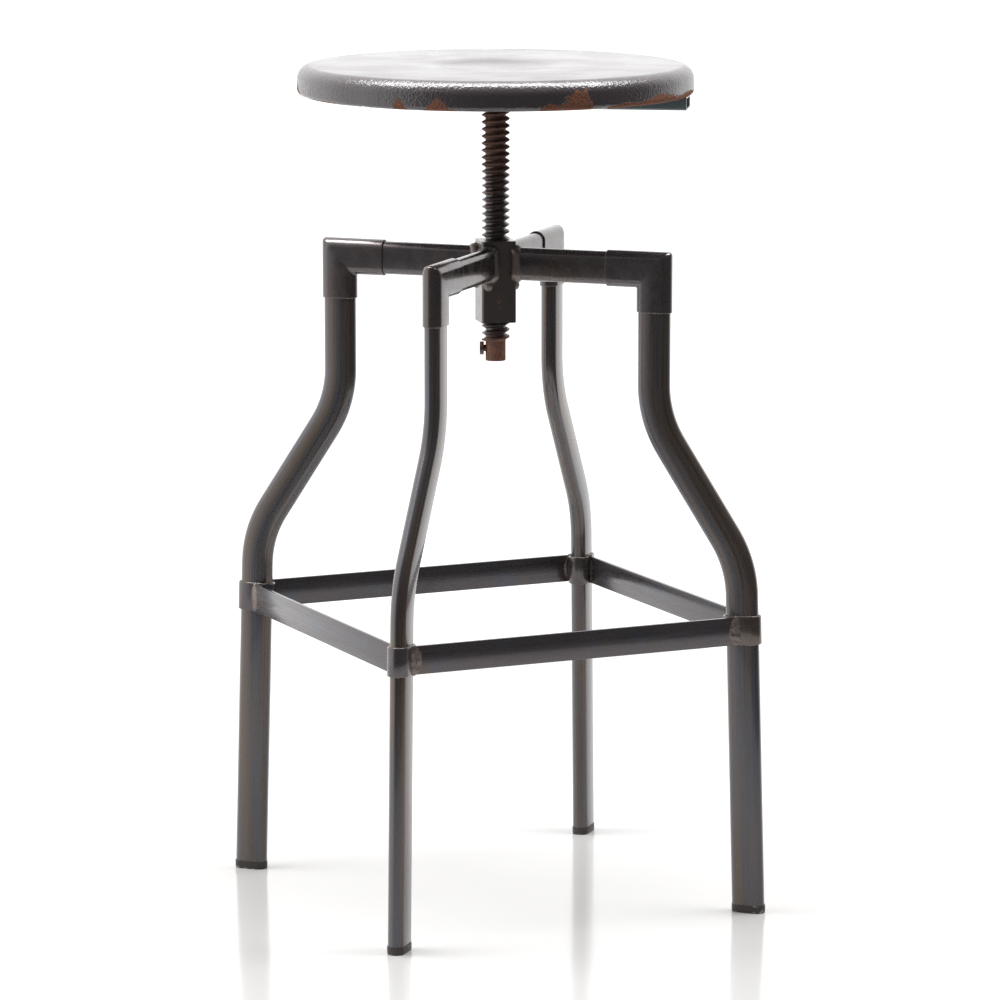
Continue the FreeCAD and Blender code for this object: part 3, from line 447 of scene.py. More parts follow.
def socket_enamel():
    """Blue-black stove enamel: very smooth, with a faint cloudiness of wiped dust."""
    colours = bpy.context.scene.stool_colours
    material, shader, tree = new_material("black_stove_enamel")
    place = add_node(tree, "ShaderNodeTexCoord", {}, output="Object")
    # Dust clouds of 25 mm, peel of 2 mm
    dust = add_node(tree, "ShaderNodeTexNoise", {"Vector": place, "Scale": 40.0, "Detail": 4.0})
    peel = add_node(tree, "ShaderNodeTexNoise", {"Vector": place, "Scale": 480.0, "Detail": 2.0})
    base = mix(tree, ramp(tree, dust, 0.45, 0.8, 0.0, 0.25), opaque(colours.enamel), opaque(colours.weld))
    bump = add_node(tree, "ShaderNodeBump", {"Height": peel, "Strength": 0.06, "Distance": 0.0003})
    put(tree, shader, Base_Color=base, Roughness=ramp(tree, dust, 0.3, 0.7, 0.16, 0.3), Normal=bump)
    put(tree, shader, Coat_Weight=0.6, Coat_Roughness=0.05)
    return material


def cap_plastic():
    """Moulded black polyethylene: matt, grey where the floor has scuffed it."""
    colours = bpy.context.scene.stool_colours
    material, shader, tree = new_material("moulded_polyethylene")
    place = add_node(tree, "ShaderNodeTexCoord", {}, output="Object")
    level = add_node(tree, "ShaderNodeSeparateXYZ", {0: place}, output="Z")
    # Scuffs of 4 mm near the floor, fine spark-eroded grain of 0.5 mm drawn at 1 mm to show
    scuffs = add_node(tree, "ShaderNodeTexNoise", {"Vector": place, "Scale": 230.0, "Detail": 4.0})
    grain = add_node(tree, "ShaderNodeTexNoise", {"Vector": place, "Scale": 1000.0, "Detail": 1.0})
    low = ramp(tree, level, 0.0, 5 * MM, 0.16, 0.0)
    worn = add_node(tree, "ShaderNodeMath", {0: scuffs, 1: low}, operation="ADD")
    base = mix(tree, ramp(tree, worn, 0.66, 0.76, 0.0, 0.55), opaque(colours.plastic), opaque(colours.scuff))
    bump = add_node(tree, "ShaderNodeBump", {"Height": grain, "Strength": 0.15, "Distance": 0.0003})
    put(tree, shader, Base_Color=base, Roughness=ramp(tree, scuffs, 0.3, 0.7, 0.42, 0.6), Normal=bump)
    return material


# Modelling


def start(kind, **settings):
    """Adds a primitive with nothing else selected and opens it in edit mode."""
    bpy.ops.object.select_all(action="DESELECT")
    getattr(bpy.ops.mesh, f"primitive_{kind}_add")(**settings)
    bpy.ops.object.mode_set(mode="EDIT")
    return bpy.context.object


def middle(element):
    """The place of a vertex, or the middle of an edge or face."""
    if isinstance(element, bmesh.types.BMVert):
        return element.co
    return sum((vertex.co for vertex in element.verts), Vector()) / len(element.verts)


def pick(piece, test, kind="VERT"):
    """Selects the vertices, edges or faces of which the test says yes to their place."""
    bpy.ops.mesh.select_mode(type=kind)
    bpy.ops.mesh.select_all(action="DESELECT")
    mesh = bmesh.from_edit_mesh(piece.data)
    for element in {"VERT": mesh.verts, "EDGE": mesh.edges, "FACE": mesh.faces}[kind]:
        element.select_set(test(middle(element)))
    bmesh.update_edit_mesh(piece.data)


def move(step):
    bpy.ops.transform.translate(value=step)


def extrude(step):
    """Pulls the selected edges or faces out by a step."""
    bpy.ops.mesh.extrude_region_move(TRANSFORM_OT_translate={"value": step})


def cut_off(point, normal, fill=False):
    """Cuts all of the mesh at a plane and drops what lies ahead of the normal."""
    bpy.ops.mesh.select_all(action="SELECT")
    bpy.ops.mesh.bisect(plane_co=point, plane_no=normal, use_fill=fill, clear_outer=True)


def modify(piece, kind, **settings):
    """Adds a modifier and applies it."""
    if bpy.context.mode != "OBJECT":
        bpy.ops.object.mode_set(mode="OBJECT")
    modifier = piece.modifiers.new(kind.title(), kind)
    for name, value in settings.items():
        setattr(modifier, name, value)
    bpy.context.view_layer.objects.active = piece
    bpy.ops.object.modifier_apply(modifier=modifier.name)


def settle(mode="OBJECT"):
    """Applies the piece's place, turn and scale to its mesh, and goes on in the given mode."""
    bpy.ops.object.mode_set(mode="OBJECT")
    bpy.ops.object.transform_apply(location=True, rotation=True, scale=True)
    bpy.ops.object.mode_set(mode=mode)


def tip(piece, turn, centre=(0, 0, 0)):
    """Turns the whole mesh about a line along Y through the centre."""
    mesh = bmesh.from_edit_mesh(piece.data)
    bmesh.ops.rotate(mesh, verts=mesh.verts, cent=centre, matrix=Matrix.Rotation(turn, 3, "Y"))
    bmesh.update_edit_mesh(piece.data)


def soften(piece, width, degrees, segments=2):
    """Rounds the edges that turn by more than these degrees."""
    limit = math.radians(degrees)
    modify(piece, "BEVEL", width=width, segments=segments, limit_method="ANGLE", angle_limit=limit)


def oval(depth, width, axis, place, steps=16):
    """A flat-oval edge loop, open inside: long along X for an axis of Z, along Z for one of X."""
    piece = start("circle", vertices=2 * steps, radius=width / 2)
    shift = Vector(((depth - width) / 2, 0, 0))
    pick(piece, lambda place: place.x > NEAR)
    move(shift)
    pick(piece, lambda place: place.x < -NEAR)
    move(-shift)
    bpy.ops.mesh.select_all(action="SELECT")
    if axis == "X":
        tip(piece, -math.pi / 2)
    move(place)
    return piece


def finish(piece, name, material, replaced, body="frame", sharp=35):
    """Closes a piece: outward faces, smooth shading, its finish, body and CAD nodes."""
    if bpy.context.mode == "OBJECT":
        bpy.ops.object.mode_set(mode="EDIT")
    bpy.ops.mesh.select_all(action="SELECT")
    bpy.ops.mesh.normals_make_consistent(inside=False)
    settle()
    bpy.ops.object.shade_smooth_by_angle(angle=math.radians(sharp))
    piece.name = name
    piece.data.name = name
    piece.data.materials.clear()
    piece.data.materials.append(material)
    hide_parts(*replaced)
    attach(piece, body)


def turned(piece, degrees):
    """A copy with its own mesh, turned about the spindle."""
    bpy.ops.object.select_all(action="DESELECT")
    piece.select_set(True)
    bpy.context.view_layer.objects.active = piece
    bpy.ops.object.duplicate(linked=False)
    copy = bpy.context.object
    copy.rotation_euler.z = math.radians(degrees)
    settle()
    return copy


def turned_copies(piece, name, material, places):
    """One piece for each place round the spindle, each with its own mesh."""
    if bpy.context.mode != "OBJECT":
        bpy.ops.object.mode_set(mode="OBJECT")
    for number, (place, degrees) in enumerate(places.items()):
        copy = turned(piece, degrees)
        shift_streaks(copy.data, number)
        node = f"{name}_{place}"
        finish(copy, f"{node}_dressed", material, [node])
    bpy.data.objects.remove(piece)


# Metres of streaks between one leg and the next, more than a leg has
STREAK_SHIFT = 1.7


def remember_straight(mesh, unbend):
    """Keeps where each vertex would be on a straight tube, for streaks that follow the bends."""
    attribute = mesh.attributes.new("straight", "FLOAT_VECTOR", "POINT")
    for vertex, value in zip(mesh.vertices, attribute.data):
        value.vector = unbend(vertex.co)


def shift_streaks(mesh, turns):
    """Moves the streaks along, so that no two tubes have the same ones."""
    attribute = mesh.attributes.get("straight")
    if attribute:
        for value in attribute.data:
            value.vector = value.vector + Vector((0, 0, STREAK_SHIFT * turns))


def roughen(piece, height, size, strength=1.0):
    """Gives a weld its lumps."""
    clouds = bpy.data.textures.new("weld_lumps", "CLOUDS")
    clouds.noise_scale = size
    rise = height * strength
    modify(piece, "DISPLACE", texture=clouds, texture_coords="LOCAL", strength=rise, mid_level=0.5)
    bpy.data.textures.remove(clouds)


def joined(pieces):
    """Joins several objects into the first."""
    bpy.ops.object.select_all(action="DESELECT")
    for piece in pieces:
        piece.select_set(True)
    bpy.context.view_layer.objects.active = pieces[0]
    bpy.ops.object.join()
    return pieces[0]


def bead_round(piece, radius):
    """Turns an edge loop into a round bead that follows it."""
    bpy.ops.object.mode_set(mode="OBJECT")
    bpy.ops.object.convert(target="CURVE")
    piece.data.bevel_depth = radius
    piece.data.bevel_resolution = 2
    piece.data.resolution_u = 1
    bpy.ops.object.convert(target="MESH")
    return piece


def lay_welds(beads, node, material, strength=1.0, cut=0):
    """Joins the beads of one leg, gives them their lumps and repeats them round the spindle.

    With a cut, they end at that distance from the spindle's axis.
    """
    sizes = bpy.context.scene.stool_weld
    piece = joined(beads)
    modify(piece, "SUBSURF", subdivision_type="SIMPLE", levels=1, render_levels=1)
    roughen(piece, sizes.lump, sizes.lump_size, strength)
    if cut:
        bpy.ops.object.mode_set(mode="EDIT")
        cut_off((cut, 0, 0), (-1, 0, 0), fill=True)
        bpy.ops.object.mode_set(mode="OBJECT")
    copies = [turned(piece, degrees) for degrees in LEGS.values()]
    bpy.data.objects.remove(piece)
    finish(joined(copies), f"{node}_dressed", material, [node], sharp=80)


# Tubes


def hub_face(across):
    """How far out along an arm the hub's face lies, at a distance across the arm."""
    sizes = bpy.context.scene.stool_weld
    reaches = []
    for side, facing in ((1, math.radians(45) - sizes.hub_turn), (-1, math.radians(45) + sizes.hub_turn)):
        reaches.append((sizes.hub_side / 2 - side * across * math.sin(facing)) / math.cos(facing))
    return min(reaches)


class STOOL_OT_arms(bpy.types.Operator):
    """Models the four arms as flat-oval tubes from the hub into the elbows"""

    bl_idname = "stool.arms"
    bl_label = "Arms"

    def execute(self, context):
        tube = context.scene.stool_tube
        start_reach = min(hub_face(TUBE_WIDTH / 2), hub_face(-TUBE_WIDTH / 2))
        piece = oval(TUBE_DEPTH, TUBE_WIDTH, "X", (start_reach, 0, ARM_LEVEL))
        extrude((ARM_HIGH[0] - start_reach, 0, 0))
        modify(piece, "SOLIDIFY", thickness=tube.wall, offset=-1)
        turned_copies(piece, "arm", tube_steel(False), LEGS)
        return {"FINISHED"}


class STOOL_OT_elbows(bpy.types.Operator):
    """Models the four mitred elbow sleeves with their rounded corners"""

    bl_idname = "stool.elbows"
    bl_label = "Elbows"

    def execute(self, context):
        sizes = context.scene.stool_elbow
        reach = context.scene.stool_tube.top_reach
        depth = TUBE_DEPTH + 2 * sizes.wall
        width = TUBE_WIDTH + 2 * sizes.wall
        far = 2 * depth
        corner = Vector((reach, 0, ARM_LEVEL))
        mitre = Vector((1, 0, -1))
        piece = oval(depth, width, "X", (ELBOW_LOW[0], 0, ARM_LEVEL), steps=24)
        extrude((reach - ELBOW_LOW[0] + far, 0, 0))
        cut_off(corner, mitre)

        def on_mitre(place):
            return abs((place - corner).dot(mitre)) < CLOSE

        pick(piece, on_mitre, "EDGE")
        extrude((0, 0, -2 * far))
        cut_off((0, 0, ELBOW_LOW[2]), (0, 0, -1))
        pick(piece, lambda place: on_mitre(place) and place.x > reach, "EDGE")
        bpy.ops.mesh.bevel(offset=sizes.outer_round, segments=5, affect="EDGES", clamp_overlap=True)
        pick(piece, lambda place: on_mitre(place) and place.x < reach, "EDGE")
        bpy.ops.mesh.bevel(offset=sizes.inner_round, segments=6, affect="EDGES", clamp_overlap=True)
        modify(piece, "SOLIDIFY", thickness=sizes.wall, offset=-1)
        turned_copies(piece, "elbow", tube_steel(False), LEGS)
        return {"FINISHED"}


def down_along(lean):
    """Down along a tube that leans outward by an angle."""
    return Vector((math.sin(lean), 0, -math.cos(lean)))


def out_across(lean):
    """Outward across such a tube."""
    return Vector((math.cos(lean), 0, math.sin(lean)))


def leg_line():
    """The corners of the leg's centre line: bend starts, bend ends and bend centres, in XZ."""
    tube = bpy.context.scene.stool_tube
    radius, slope, splay = tube.bend_radius, tube.slope, tube.splay
    down_slope, down_foot = down_along(slope), down_along(splay)
    first_start = Vector((tube.top_reach, 0, tube.bend_level + radius * math.tan(slope / 2)))
    first_centre = first_start + Vector((radius, 0, 0))
    outward = out_across(slope)
    first_end = first_centre - outward * radius
    foot = Vector((tube.foot_reach, 0, 0))
    gap = foot - first_end
    crossing = (gap.x * down_foot.z - gap.z * down_foot.x) / (
        down_slope.x * down_foot.z - down_slope.z * down_foot.x
    )
    knee = first_end + down_slope * crossing
    tangent = radius * math.tan((slope - splay) / 2)
    second_start = knee - down_slope * tangent
    second_end = knee + down_foot * tangent
    second_centre = second_start - outward * radius
    return first_start, first_centre, first_end, second_start, second_centre, second_end, foot


def unbend_leg(place):
    """Where a point of the leg would be if its tube were straight: across, sideways, along."""
    tube = bpy.context.scene.stool_tube
    radius, slope, splay = tube.bend_radius, tube.slope, tube.splay
    first_start, first_centre, first_end, second_start, second_centre, second_end, _ = leg_line()
    down_slope, down_foot = down_along(slope), down_along(splay)
    middle_run = (second_start - first_end).length
    if place.z > first_start.z:
        return Vector((place.x - first_start.x, place.y, first_start.z - place.z))
    before = radius * slope
    if (place - first_end).dot(down_slope) < 0:
        spoke = first_centre - place
        turn = math.atan2(spoke.z, spoke.x)
        return Vector((radius - math.hypot(spoke.x, spoke.z), place.y, radius * turn))
    if (place - second_start).dot(down_slope) < 0:
        gone = place - first_end
        across = gone.dot(out_across(slope))
        return Vector((across, place.y, before + gone.dot(down_slope)))
    if (place - second_end).dot(down_foot) < 0:
        spoke = place - second_centre
        turn = slope - math.atan2(spoke.z, spoke.x)
        return Vector((math.hypot(spoke.x, spoke.z) - radius, place.y, before + middle_run + radius * turn))
    gone = place - second_end
    across = gone.dot(out_across(splay))
    return Vector((across, place.y, before + middle_run + radius * (slope - splay) + gone.dot(down_foot)))


class STOOL_OT_legs(bpy.types.Operator):
    """Models the four bent legs, each one tube from its elbow to its foot cap"""

    bl_idname = "stool.legs"
    bl_label = "Legs"

    def execute(self, context):
        tube = context.scene.stool_tube
        first_start, first_centre, first_end, second_start, second_centre, second_end, foot = leg_line()
        top = Vector((tube.top_reach, 0, LEG_HIGH[2]))
        bend_steps = 14
        piece = oval(TUBE_DEPTH, TUBE_WIDTH, "Z", top)
        extrude(first_start - top)
        bpy.ops.mesh.spin(steps=bend_steps, angle=tube.slope, center=first_centre, axis=(0, 1, 0))
        extrude(second_start - first_end)
        lower = tube.slope - tube.splay
        bpy.ops.mesh.spin(steps=bend_steps, angle=lower, center=second_centre, axis=(0, -1, 0))
        extrude(foot - second_end)
        cut_off((0, 0, LEG_LOW[2]), (0, 0, -1))
        bpy.ops.mesh.select_all(action="SELECT")
        bpy.ops.mesh.remove_doubles(threshold=NEAR)
        modify(piece, "SOLIDIFY", thickness=tube.wall, offset=-1)
        remember_straight(piece.data, unbend_leg)
        turned_copies(piece, "leg", tube_steel(True), LEGS)
        return {"FINISHED"}


class STOOL_OT_foot_caps(bpy.types.Operator):
    """Models the four moulded foot caps with their plugs"""

    bl_idname = "stool.foot_caps"
    bl_label = "Foot caps"

    def execute(self, context):
        tube = context.scene.stool_tube
        sizes = context.scene.stool_small
        depth = CAP_HIGH[0] - CAP_LOW[0]
        width = CAP_HIGH[1] - CAP_LOW[1]
        flange = LEG_LOW[2]
        piece = oval(depth, width, "Z", (tube.foot_reach, 0, 0), steps=16)
        bpy.ops.mesh.edge_face_add()
        extrude((0, 0, flange))
        pick(piece, lambda place: place.z > flange - NEAR, "FACE")
        bpy.ops.mesh.inset(thickness=sizes.cap_edge)
        bpy.ops.mesh.inset(thickness=(depth - TUBE_DEPTH) / 2 + tube.wall)
        lean = -flange * math.tan(tube.splay)
        # The plug is this many times as high as the flange
        plug = 3
        extrude((plug * lean, 0, plug * flange))
        pick(piece, lambda place: place.z < NEAR, "EDGE")
        bpy.ops.mesh.bevel(offset=sizes.cap_round, segments=4, affect="EDGES")
        turned_copies(piece, "foot_cap", cap_plastic(), LEGS)
        return {"FINISHED"}


# Footrest


def leaning(piece, reach):
    """Leans the whole mesh with the lower leg, about its centre line at the footrest."""
    lean = bpy.context.scene.stool_tube.splay
    bpy.ops.mesh.select_all(action="SELECT")
    tip(piece, -lean, (reach, 0, RING_LEVEL))


def ring_reach():
    """Spindle axis to the leg's centre line at the footrest's height."""
    tube = bpy.context.scene.stool_tube
    return tube.foot_reach - RING_LEVEL * math.tan(tube.splay)


class STOOL_OT_footrest(bpy.types.Operator):
    """Models the footrest: a collar round each leg and a flat bar between neighbours"""

    bl_idname = "stool.footrest"
    bl_label = "Footrest"

    def execute(self, context):
        sizes = context.scene.stool_footrest
        reach = ring_reach()
        depth = TUBE_DEPTH + 2 * sizes.collar_wall
        width = TUBE_WIDTH + 2 * sizes.collar_wall
        low = RING_LEVEL - BAR_HEIGHT / 2
        piece = oval(depth, width, "Z", (reach, 0, low))
        extrude((0, 0, BAR_HEIGHT))
        leaning(piece, reach)
        modify(piece, "SOLIDIFY", thickness=sizes.collar_wall, offset=-1)
        soften(piece, sizes.edge, 60)
        turned_copies(piece, "collar", tube_steel(False), LEGS)

        across = reach * math.sqrt(0.5) + sizes.bar_offset
        centre = Vector((across * math.sqrt(0.5), across * math.sqrt(0.5), RING_LEVEL))
        size = (2 * across, sizes.bar_width, BAR_HEIGHT)
        turn = (0, 0, math.radians(135))
        bar = start("cube", size=1, location=centre, rotation=turn, scale=size)
        bpy.ops.mesh.subdivide(number_cuts=1)
        settle("EDIT")
        inside = width / 2 - sizes.edge
        cut_off((0, inside, 0), (0, -1, 0), fill=True)
        cut_off((inside, 0, 0), (-1, 0, 0), fill=True)
        soften(bar, sizes.edge, 40)
        turned_copies(bar, "footrest_bar", bar_steel(), BARS)
        return {"FINISHED"}


class STOOL_OT_footrest_welds(bpy.types.Operator):
    """Models the lumpy weld patches between bars and collars, and the beads round the collars"""

    bl_idname = "stool.footrest_welds"
    bl_label = "Footrest welds"

    def execute(self, context):
        rest = context.scene.stool_footrest
        sizes = context.scene.stool_weld
        reach = ring_reach()
        depth = TUBE_DEPTH + 2 * rest.collar_wall
        width = TUBE_WIDTH + 2 * rest.collar_wall
        line = 2 * (reach * math.sqrt(0.5) + rest.bar_offset) * math.sqrt(0.5)
        beads = []
        for hand in (1, -1):
            spot = Vector((line - width / 2, hand * width / 2, RING_LEVEL))
            for side, rise in ((1, sizes.patch_rise), (-1, 0.6 * sizes.patch_rise)):
                # A flattened ball, half sunk in the bar, that reaches just past its edges
                outward = Vector((1, hand, 0)).normalized() * side
                along = Vector((-1, hand, 0)).normalized()
                place = spot + outward * (rest.bar_width / 2 - rise * 0.5) + along * 1.5 * MM
                turn = (0, 0, math.atan2(outward.y, outward.x) - math.pi / 2)
                scale = (sizes.patch_length / 2, 1.6 * rise, BAR_HEIGHT / 2 + 0.8 * MM)
                ball = {"segments": 24, "ring_count": 20, "radius": 1}
                beads.append(start("uv_sphere", location=place, rotation=turn, scale=scale, **ball))
                settle()
        for level in (-1, 1):
            height = RING_LEVEL + level * BAR_HEIGHT / 2
            ring = oval(depth - rest.collar_wall, width - rest.collar_wall, "Z", (reach, 0, height))
            leaning(ring, reach)
            beads.append(bead_round(ring, sizes.ring_bead))
        lay_welds(beads, "ring_welds", weld_metal())
        return {"FINISHED"}


# Hub


class STOOL_OT_hub_welds(bpy.types.Operator):
    """Models the beads round each arm where it meets the hub, and the seams at the elbows"""

    bl_idname = "stool.hub_welds"
    bl_label = "Hub welds and elbow seams"

    def execute(self, context):
        sizes = context.scene.stool_weld
        sunk = 2 * sizes.hub_sunk
        ring = oval(TUBE_DEPTH - sunk, TUBE_WIDTH - sunk, "X", (0, 0, ARM_LEVEL), steps=20)
        mesh = bmesh.from_edit_mesh(ring.data)
        for vertex in mesh.verts:
            vertex.co.x = hub_face(vertex.co.y)
        bmesh.update_edit_mesh(ring.data)
        bead_round(ring, sizes.hub_bead)
        spot = (hub_face(0), 0, ARM_LEVEL - TUBE_DEPTH / 2 - sizes.drip / 2)
        # A hanging drop, narrower than it is high
        scale = (sizes.drip * 0.6, sizes.drip * 0.8, sizes.drip)
        start("uv_sphere", segments=20, ring_count=14, radius=1, location=spot, scale=scale)
        settle()
        welds = weld_metal()
        lay_welds([ring, bpy.context.object], "hub_welds", welds, strength=1.6, cut=sizes.bore)

        elbow = context.scene.stool_elbow
        reach = context.scene.stool_tube.top_reach
        depth = TUBE_DEPTH + elbow.wall
        width = TUBE_WIDTH + elbow.wall
        on_arm = bead_round(oval(depth, width, "X", (ELBOW_LOW[0], 0, ARM_LEVEL)), elbow.seam)
        on_leg = bead_round(oval(depth, width, "Z", (reach, 0, ELBOW_LOW[2])), elbow.seam)
        lay_welds([on_arm, on_leg], "elbow_seams", welds, strength=0.6)
        return {"FINISHED"}


class STOOL_OT_stop_screw(bpy.types.Operator):
    """Models the slotted stop screw in the spindle's lower end"""

    bl_idname = "stool.stop_screw"
    bl_label = "Stop screw"

    def execute(self, context):
        sizes = context.scene.stool_small
        level = (STOP_LOW[2] + STOP_HIGH[2]) / 2
        head = (STOP_HIGH[2] - STOP_LOW[2]) / 2
        shank = head / 2
        turn = sizes.stop_bearing
        end = (-STOP_LOW[0] - head * abs(math.sin(turn))) / abs(math.cos(turn))
        foot = end - sizes.stop_head
        piece = start("cylinder", vertices=32, radius=shank, depth=foot, location=(0, 0, foot / 2))
        settle("EDIT")
        pick(piece, lambda place: place.z > foot - NEAR, "FACE")
        extrude((0, 0, 0))
        grown = head / shank
        bpy.ops.transform.resize(value=(grown, grown, 1))
        extrude((0, 0, end - foot))
        half = sizes.slot / 2
        for side in (-half, half):
            pick(piece, lambda place: place.z > end - NEAR, "FACE")
            bpy.ops.mesh.bisect(plane_co=(0, side, 0), plane_no=(0, 1, 0))
        pick(piece, lambda place: place.z > end - NEAR and abs(place.y) < half, "FACE")
        extrude((0, 0, -sizes.slot_depth))
        soften(piece, sizes.head_round, 50, segments=3)
        piece.rotation_euler = (0, math.pi / 2, 0)
        piece.location = (0, 0, level)
        settle()
        piece.rotation_euler = (0, 0, turn)
        rusty = oiled_steel("rusty_screw_steel", 0.1)
        finish(piece, "stop_screw_dressed", rusty, ["stop_screw"], "seat")
        return {"FINISHED"}


# Seat

# Rust on the rim: bearing from +X and half width in degrees, height above the rim's foot in mm
RUST = [
    (-163, 17, 15), (-129, 13, 1.6), (-97.8, 2.2, 11), (-86.2, 3.2, 12), (-86, 5.4, 3),
    (-53.8, 3.4, 7), (-46.2, 5, 18), (-43.9, 2.4, 22), (-29, 8, 5), (-14, 12, 9),
    (5, 14, 7), (58, 6, 12), (97, 9, 8), (141, 4, 15), (168, 7, 7),
]
# Pale chips on the rim's lower edge, in the same way
CHIPS = [(-142, 2.4, 1.6), (-129.5, 1.4, 1.4), (-110.6, 1.6, 1.4), (-20, 5, 1), (120, 8, 2)]
# How far rust and chips keep their strength inward under the lip
RUST_UNDER, CHIPS_UNDER = 8 * MM, 3 * MM
# The rim's hammer marks fade out over this width of the upper edge
HAMMER_FADE = 4 * MM


def patch_strength(bearing, height, patches):
    """Above zero inside a worn patch of the rim, below it outside."""
    best = -2.0
    for centre, half_width, tall in patches:
        apart = (bearing - centre + 180) % 360 - 180
        best = max(best, 1 - abs(apart / half_width) ** 1.5 - max(height / (tall * MM), 0) ** 1.5)
    return best


class STOOL_OT_seat(bpy.types.Operator):
    """Models the pressed seat with its rounded edge, lip and dish, and marks its worn places"""

    bl_idname = "stool.seat"
    bl_label = "Seat"

    def execute(self, context):
        sizes = context.scene.stool_seat
        radius = SEAT_HIGH[0]
        top, foot, floor = SEAT_HIGH[2], SEAT_LOW[2], PLATE_HIGH[2] + sizes.sheet
        dish_round = sizes.dish_slope * 0.45
        turns = [
            (sizes.dish - sizes.dish_slope, floor, dish_round),
            (sizes.dish, top, dish_round),
            (radius, top, sizes.edge_round),
            (radius, foot, sizes.lip_round),
        ]
        piece = start("plane", size=1)
        pick(piece, lambda place: place.x + place.y < 0.9)
        bpy.ops.mesh.delete(type="VERT")
        bpy.ops.mesh.select_all(action="SELECT")
        here = Vector((0, 0, floor))
        move(here - Vector((0.5, 0.5, 0)))
        for across, level, _ in turns:
            there = Vector((across, 0, level))
            extrude(there - here)
            here = there
        extrude((-sizes.lip_width, 0, 0))
        for across, level, bend in turns:
            pick(piece, lambda place: (place - Vector((across, 0, level))).length < NEAR)
            bpy.ops.mesh.bevel(offset=bend, offset_type="OFFSET", segments=10, affect="VERTICES")
        pick(piece, lambda place: True, "EDGE")
        bpy.ops.mesh.spin(steps=sizes.steps, angle=2 * math.pi, center=(0, 0, 0), axis=(0, 0, 1))
        bpy.ops.mesh.select_all(action="SELECT")
        bpy.ops.mesh.remove_doubles(threshold=CLOSE)
        # Cuts round the rim's upright part, so that the wear has vertices to lie on
        bands = 5
        for level in range(1, bands):
            bpy.ops.mesh.select_all(action="SELECT")
            upright = top - foot - sizes.lip_round - sizes.edge_round
            height = foot + sizes.lip_round + level * upright / bands
            bpy.ops.mesh.bisect(plane_co=(0, 0, height), plane_no=(0, 0, 1))
        bpy.ops.mesh.select_all(action="SELECT")
        bpy.ops.mesh.normals_make_consistent(inside=False)
        modify(piece, "SOLIDIFY", thickness=sizes.sheet, offset=-1)
        attribute = piece.data.attributes.new("wear", "FLOAT_VECTOR", "POINT")
        for vertex, value in zip(piece.data.vertices, attribute.data):
            place = vertex.co
            bearing = math.degrees(math.atan2(place.y, place.x))
            height = place.z - foot
            inward = radius - math.hypot(place.x, place.y)
            rust = patch_strength(bearing, height + max(inward - RUST_UNDER, 0), RUST)
            chips = patch_strength(bearing, height + max(inward - CHIPS_UNDER, 0), CHIPS)
            hammered = min(max((sizes.edge_round - inward) / HAMMER_FADE, 0), 1)
            value.vector = (rust, chips, hammered)
        finish(piece, "seat_pan_dressed", seat_lacquer(), ["seat_pan"], "seat")
        return {"FINISHED"}


class STOOL_OT_socket(bpy.types.Operator):
    """Models the backrest socket under the seat with its open, square-cut end"""

    bl_idname = "stool.socket"
    bl_label = "Backrest socket"

    def execute(self, context):
        sizes = context.scene.stool_small
        low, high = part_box("backrest_socket")
        bearing = sizes.socket_bearing
        half = sizes.socket_width / 2
        reach = (high[0] - half * math.sin(bearing)) / math.cos(bearing)
        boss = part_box("spindle_boss")[1][0]
        # The closed end reaches this far into the boss, and is solid for as much outside it
        sunk = 2 * MM
        size = (reach - boss + sunk, sizes.socket_width, high[2] - low[2])
        centre = ((boss + reach) / 2 - sunk / 2, 0, (low[2] + high[2]) / 2)
        piece = start("cube", size=1, location=centre, scale=size)
        settle("EDIT")

        def on_long_edge(place):
            return abs(place.y) > half - NEAR and abs(abs(place.z - centre[2]) - size[2] / 2) < NEAR

        pick(piece, on_long_edge, "EDGE")
        bpy.ops.mesh.bevel(offset=sizes.socket_round, segments=4, affect="EDGES")
        pick(piece, lambda place: place.x > reach - NEAR, "FACE")
        bpy.ops.mesh.inset(thickness=sizes.socket_wall)
        extrude((-(reach - boss - sunk), 0, 0))
        soften(piece, sizes.socket_edge, 60)
        piece.rotation_euler.z = bearing
        enamel = socket_enamel()
        finish(piece, "backrest_socket_dressed", enamel, ["backrest_socket"], "seat")
        return {"FINISHED"}


class STOOL_OT_turned_parts(bpy.types.Operator):
    """Gives the hub, the screw and what carries the seat their finishes"""

    bl_idname = "stool.turned_parts"
    bl_label = "Hub and screw finishes"

    def execute(self, context):
        hub = oiled_steel("oiled_hub_steel", 0.02)
        # The screw rusts on its plain end under the hub, and again high up on the thread
        rust_levels = (SPINDLE_LOW[2] + 20 * MM, HUB_HIGH[2] + 60 * MM)
        screw = oiled_steel("oiled_screw_steel", 0.05, rust_levels)
        finishes = {
            hub: ("hub_nut", "thrust_washer", "spindle_boss", "boss_pin", "mounting_plate"),
            screw: ("spindle",),
            weld_metal(): ("seat_weld",),
        }
        for material, names in finishes.items():
            for name in names:
                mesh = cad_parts[name].data
                mesh.materials.clear()
                mesh.materials.append(material)
        return {"FINISHED"}


# Stage


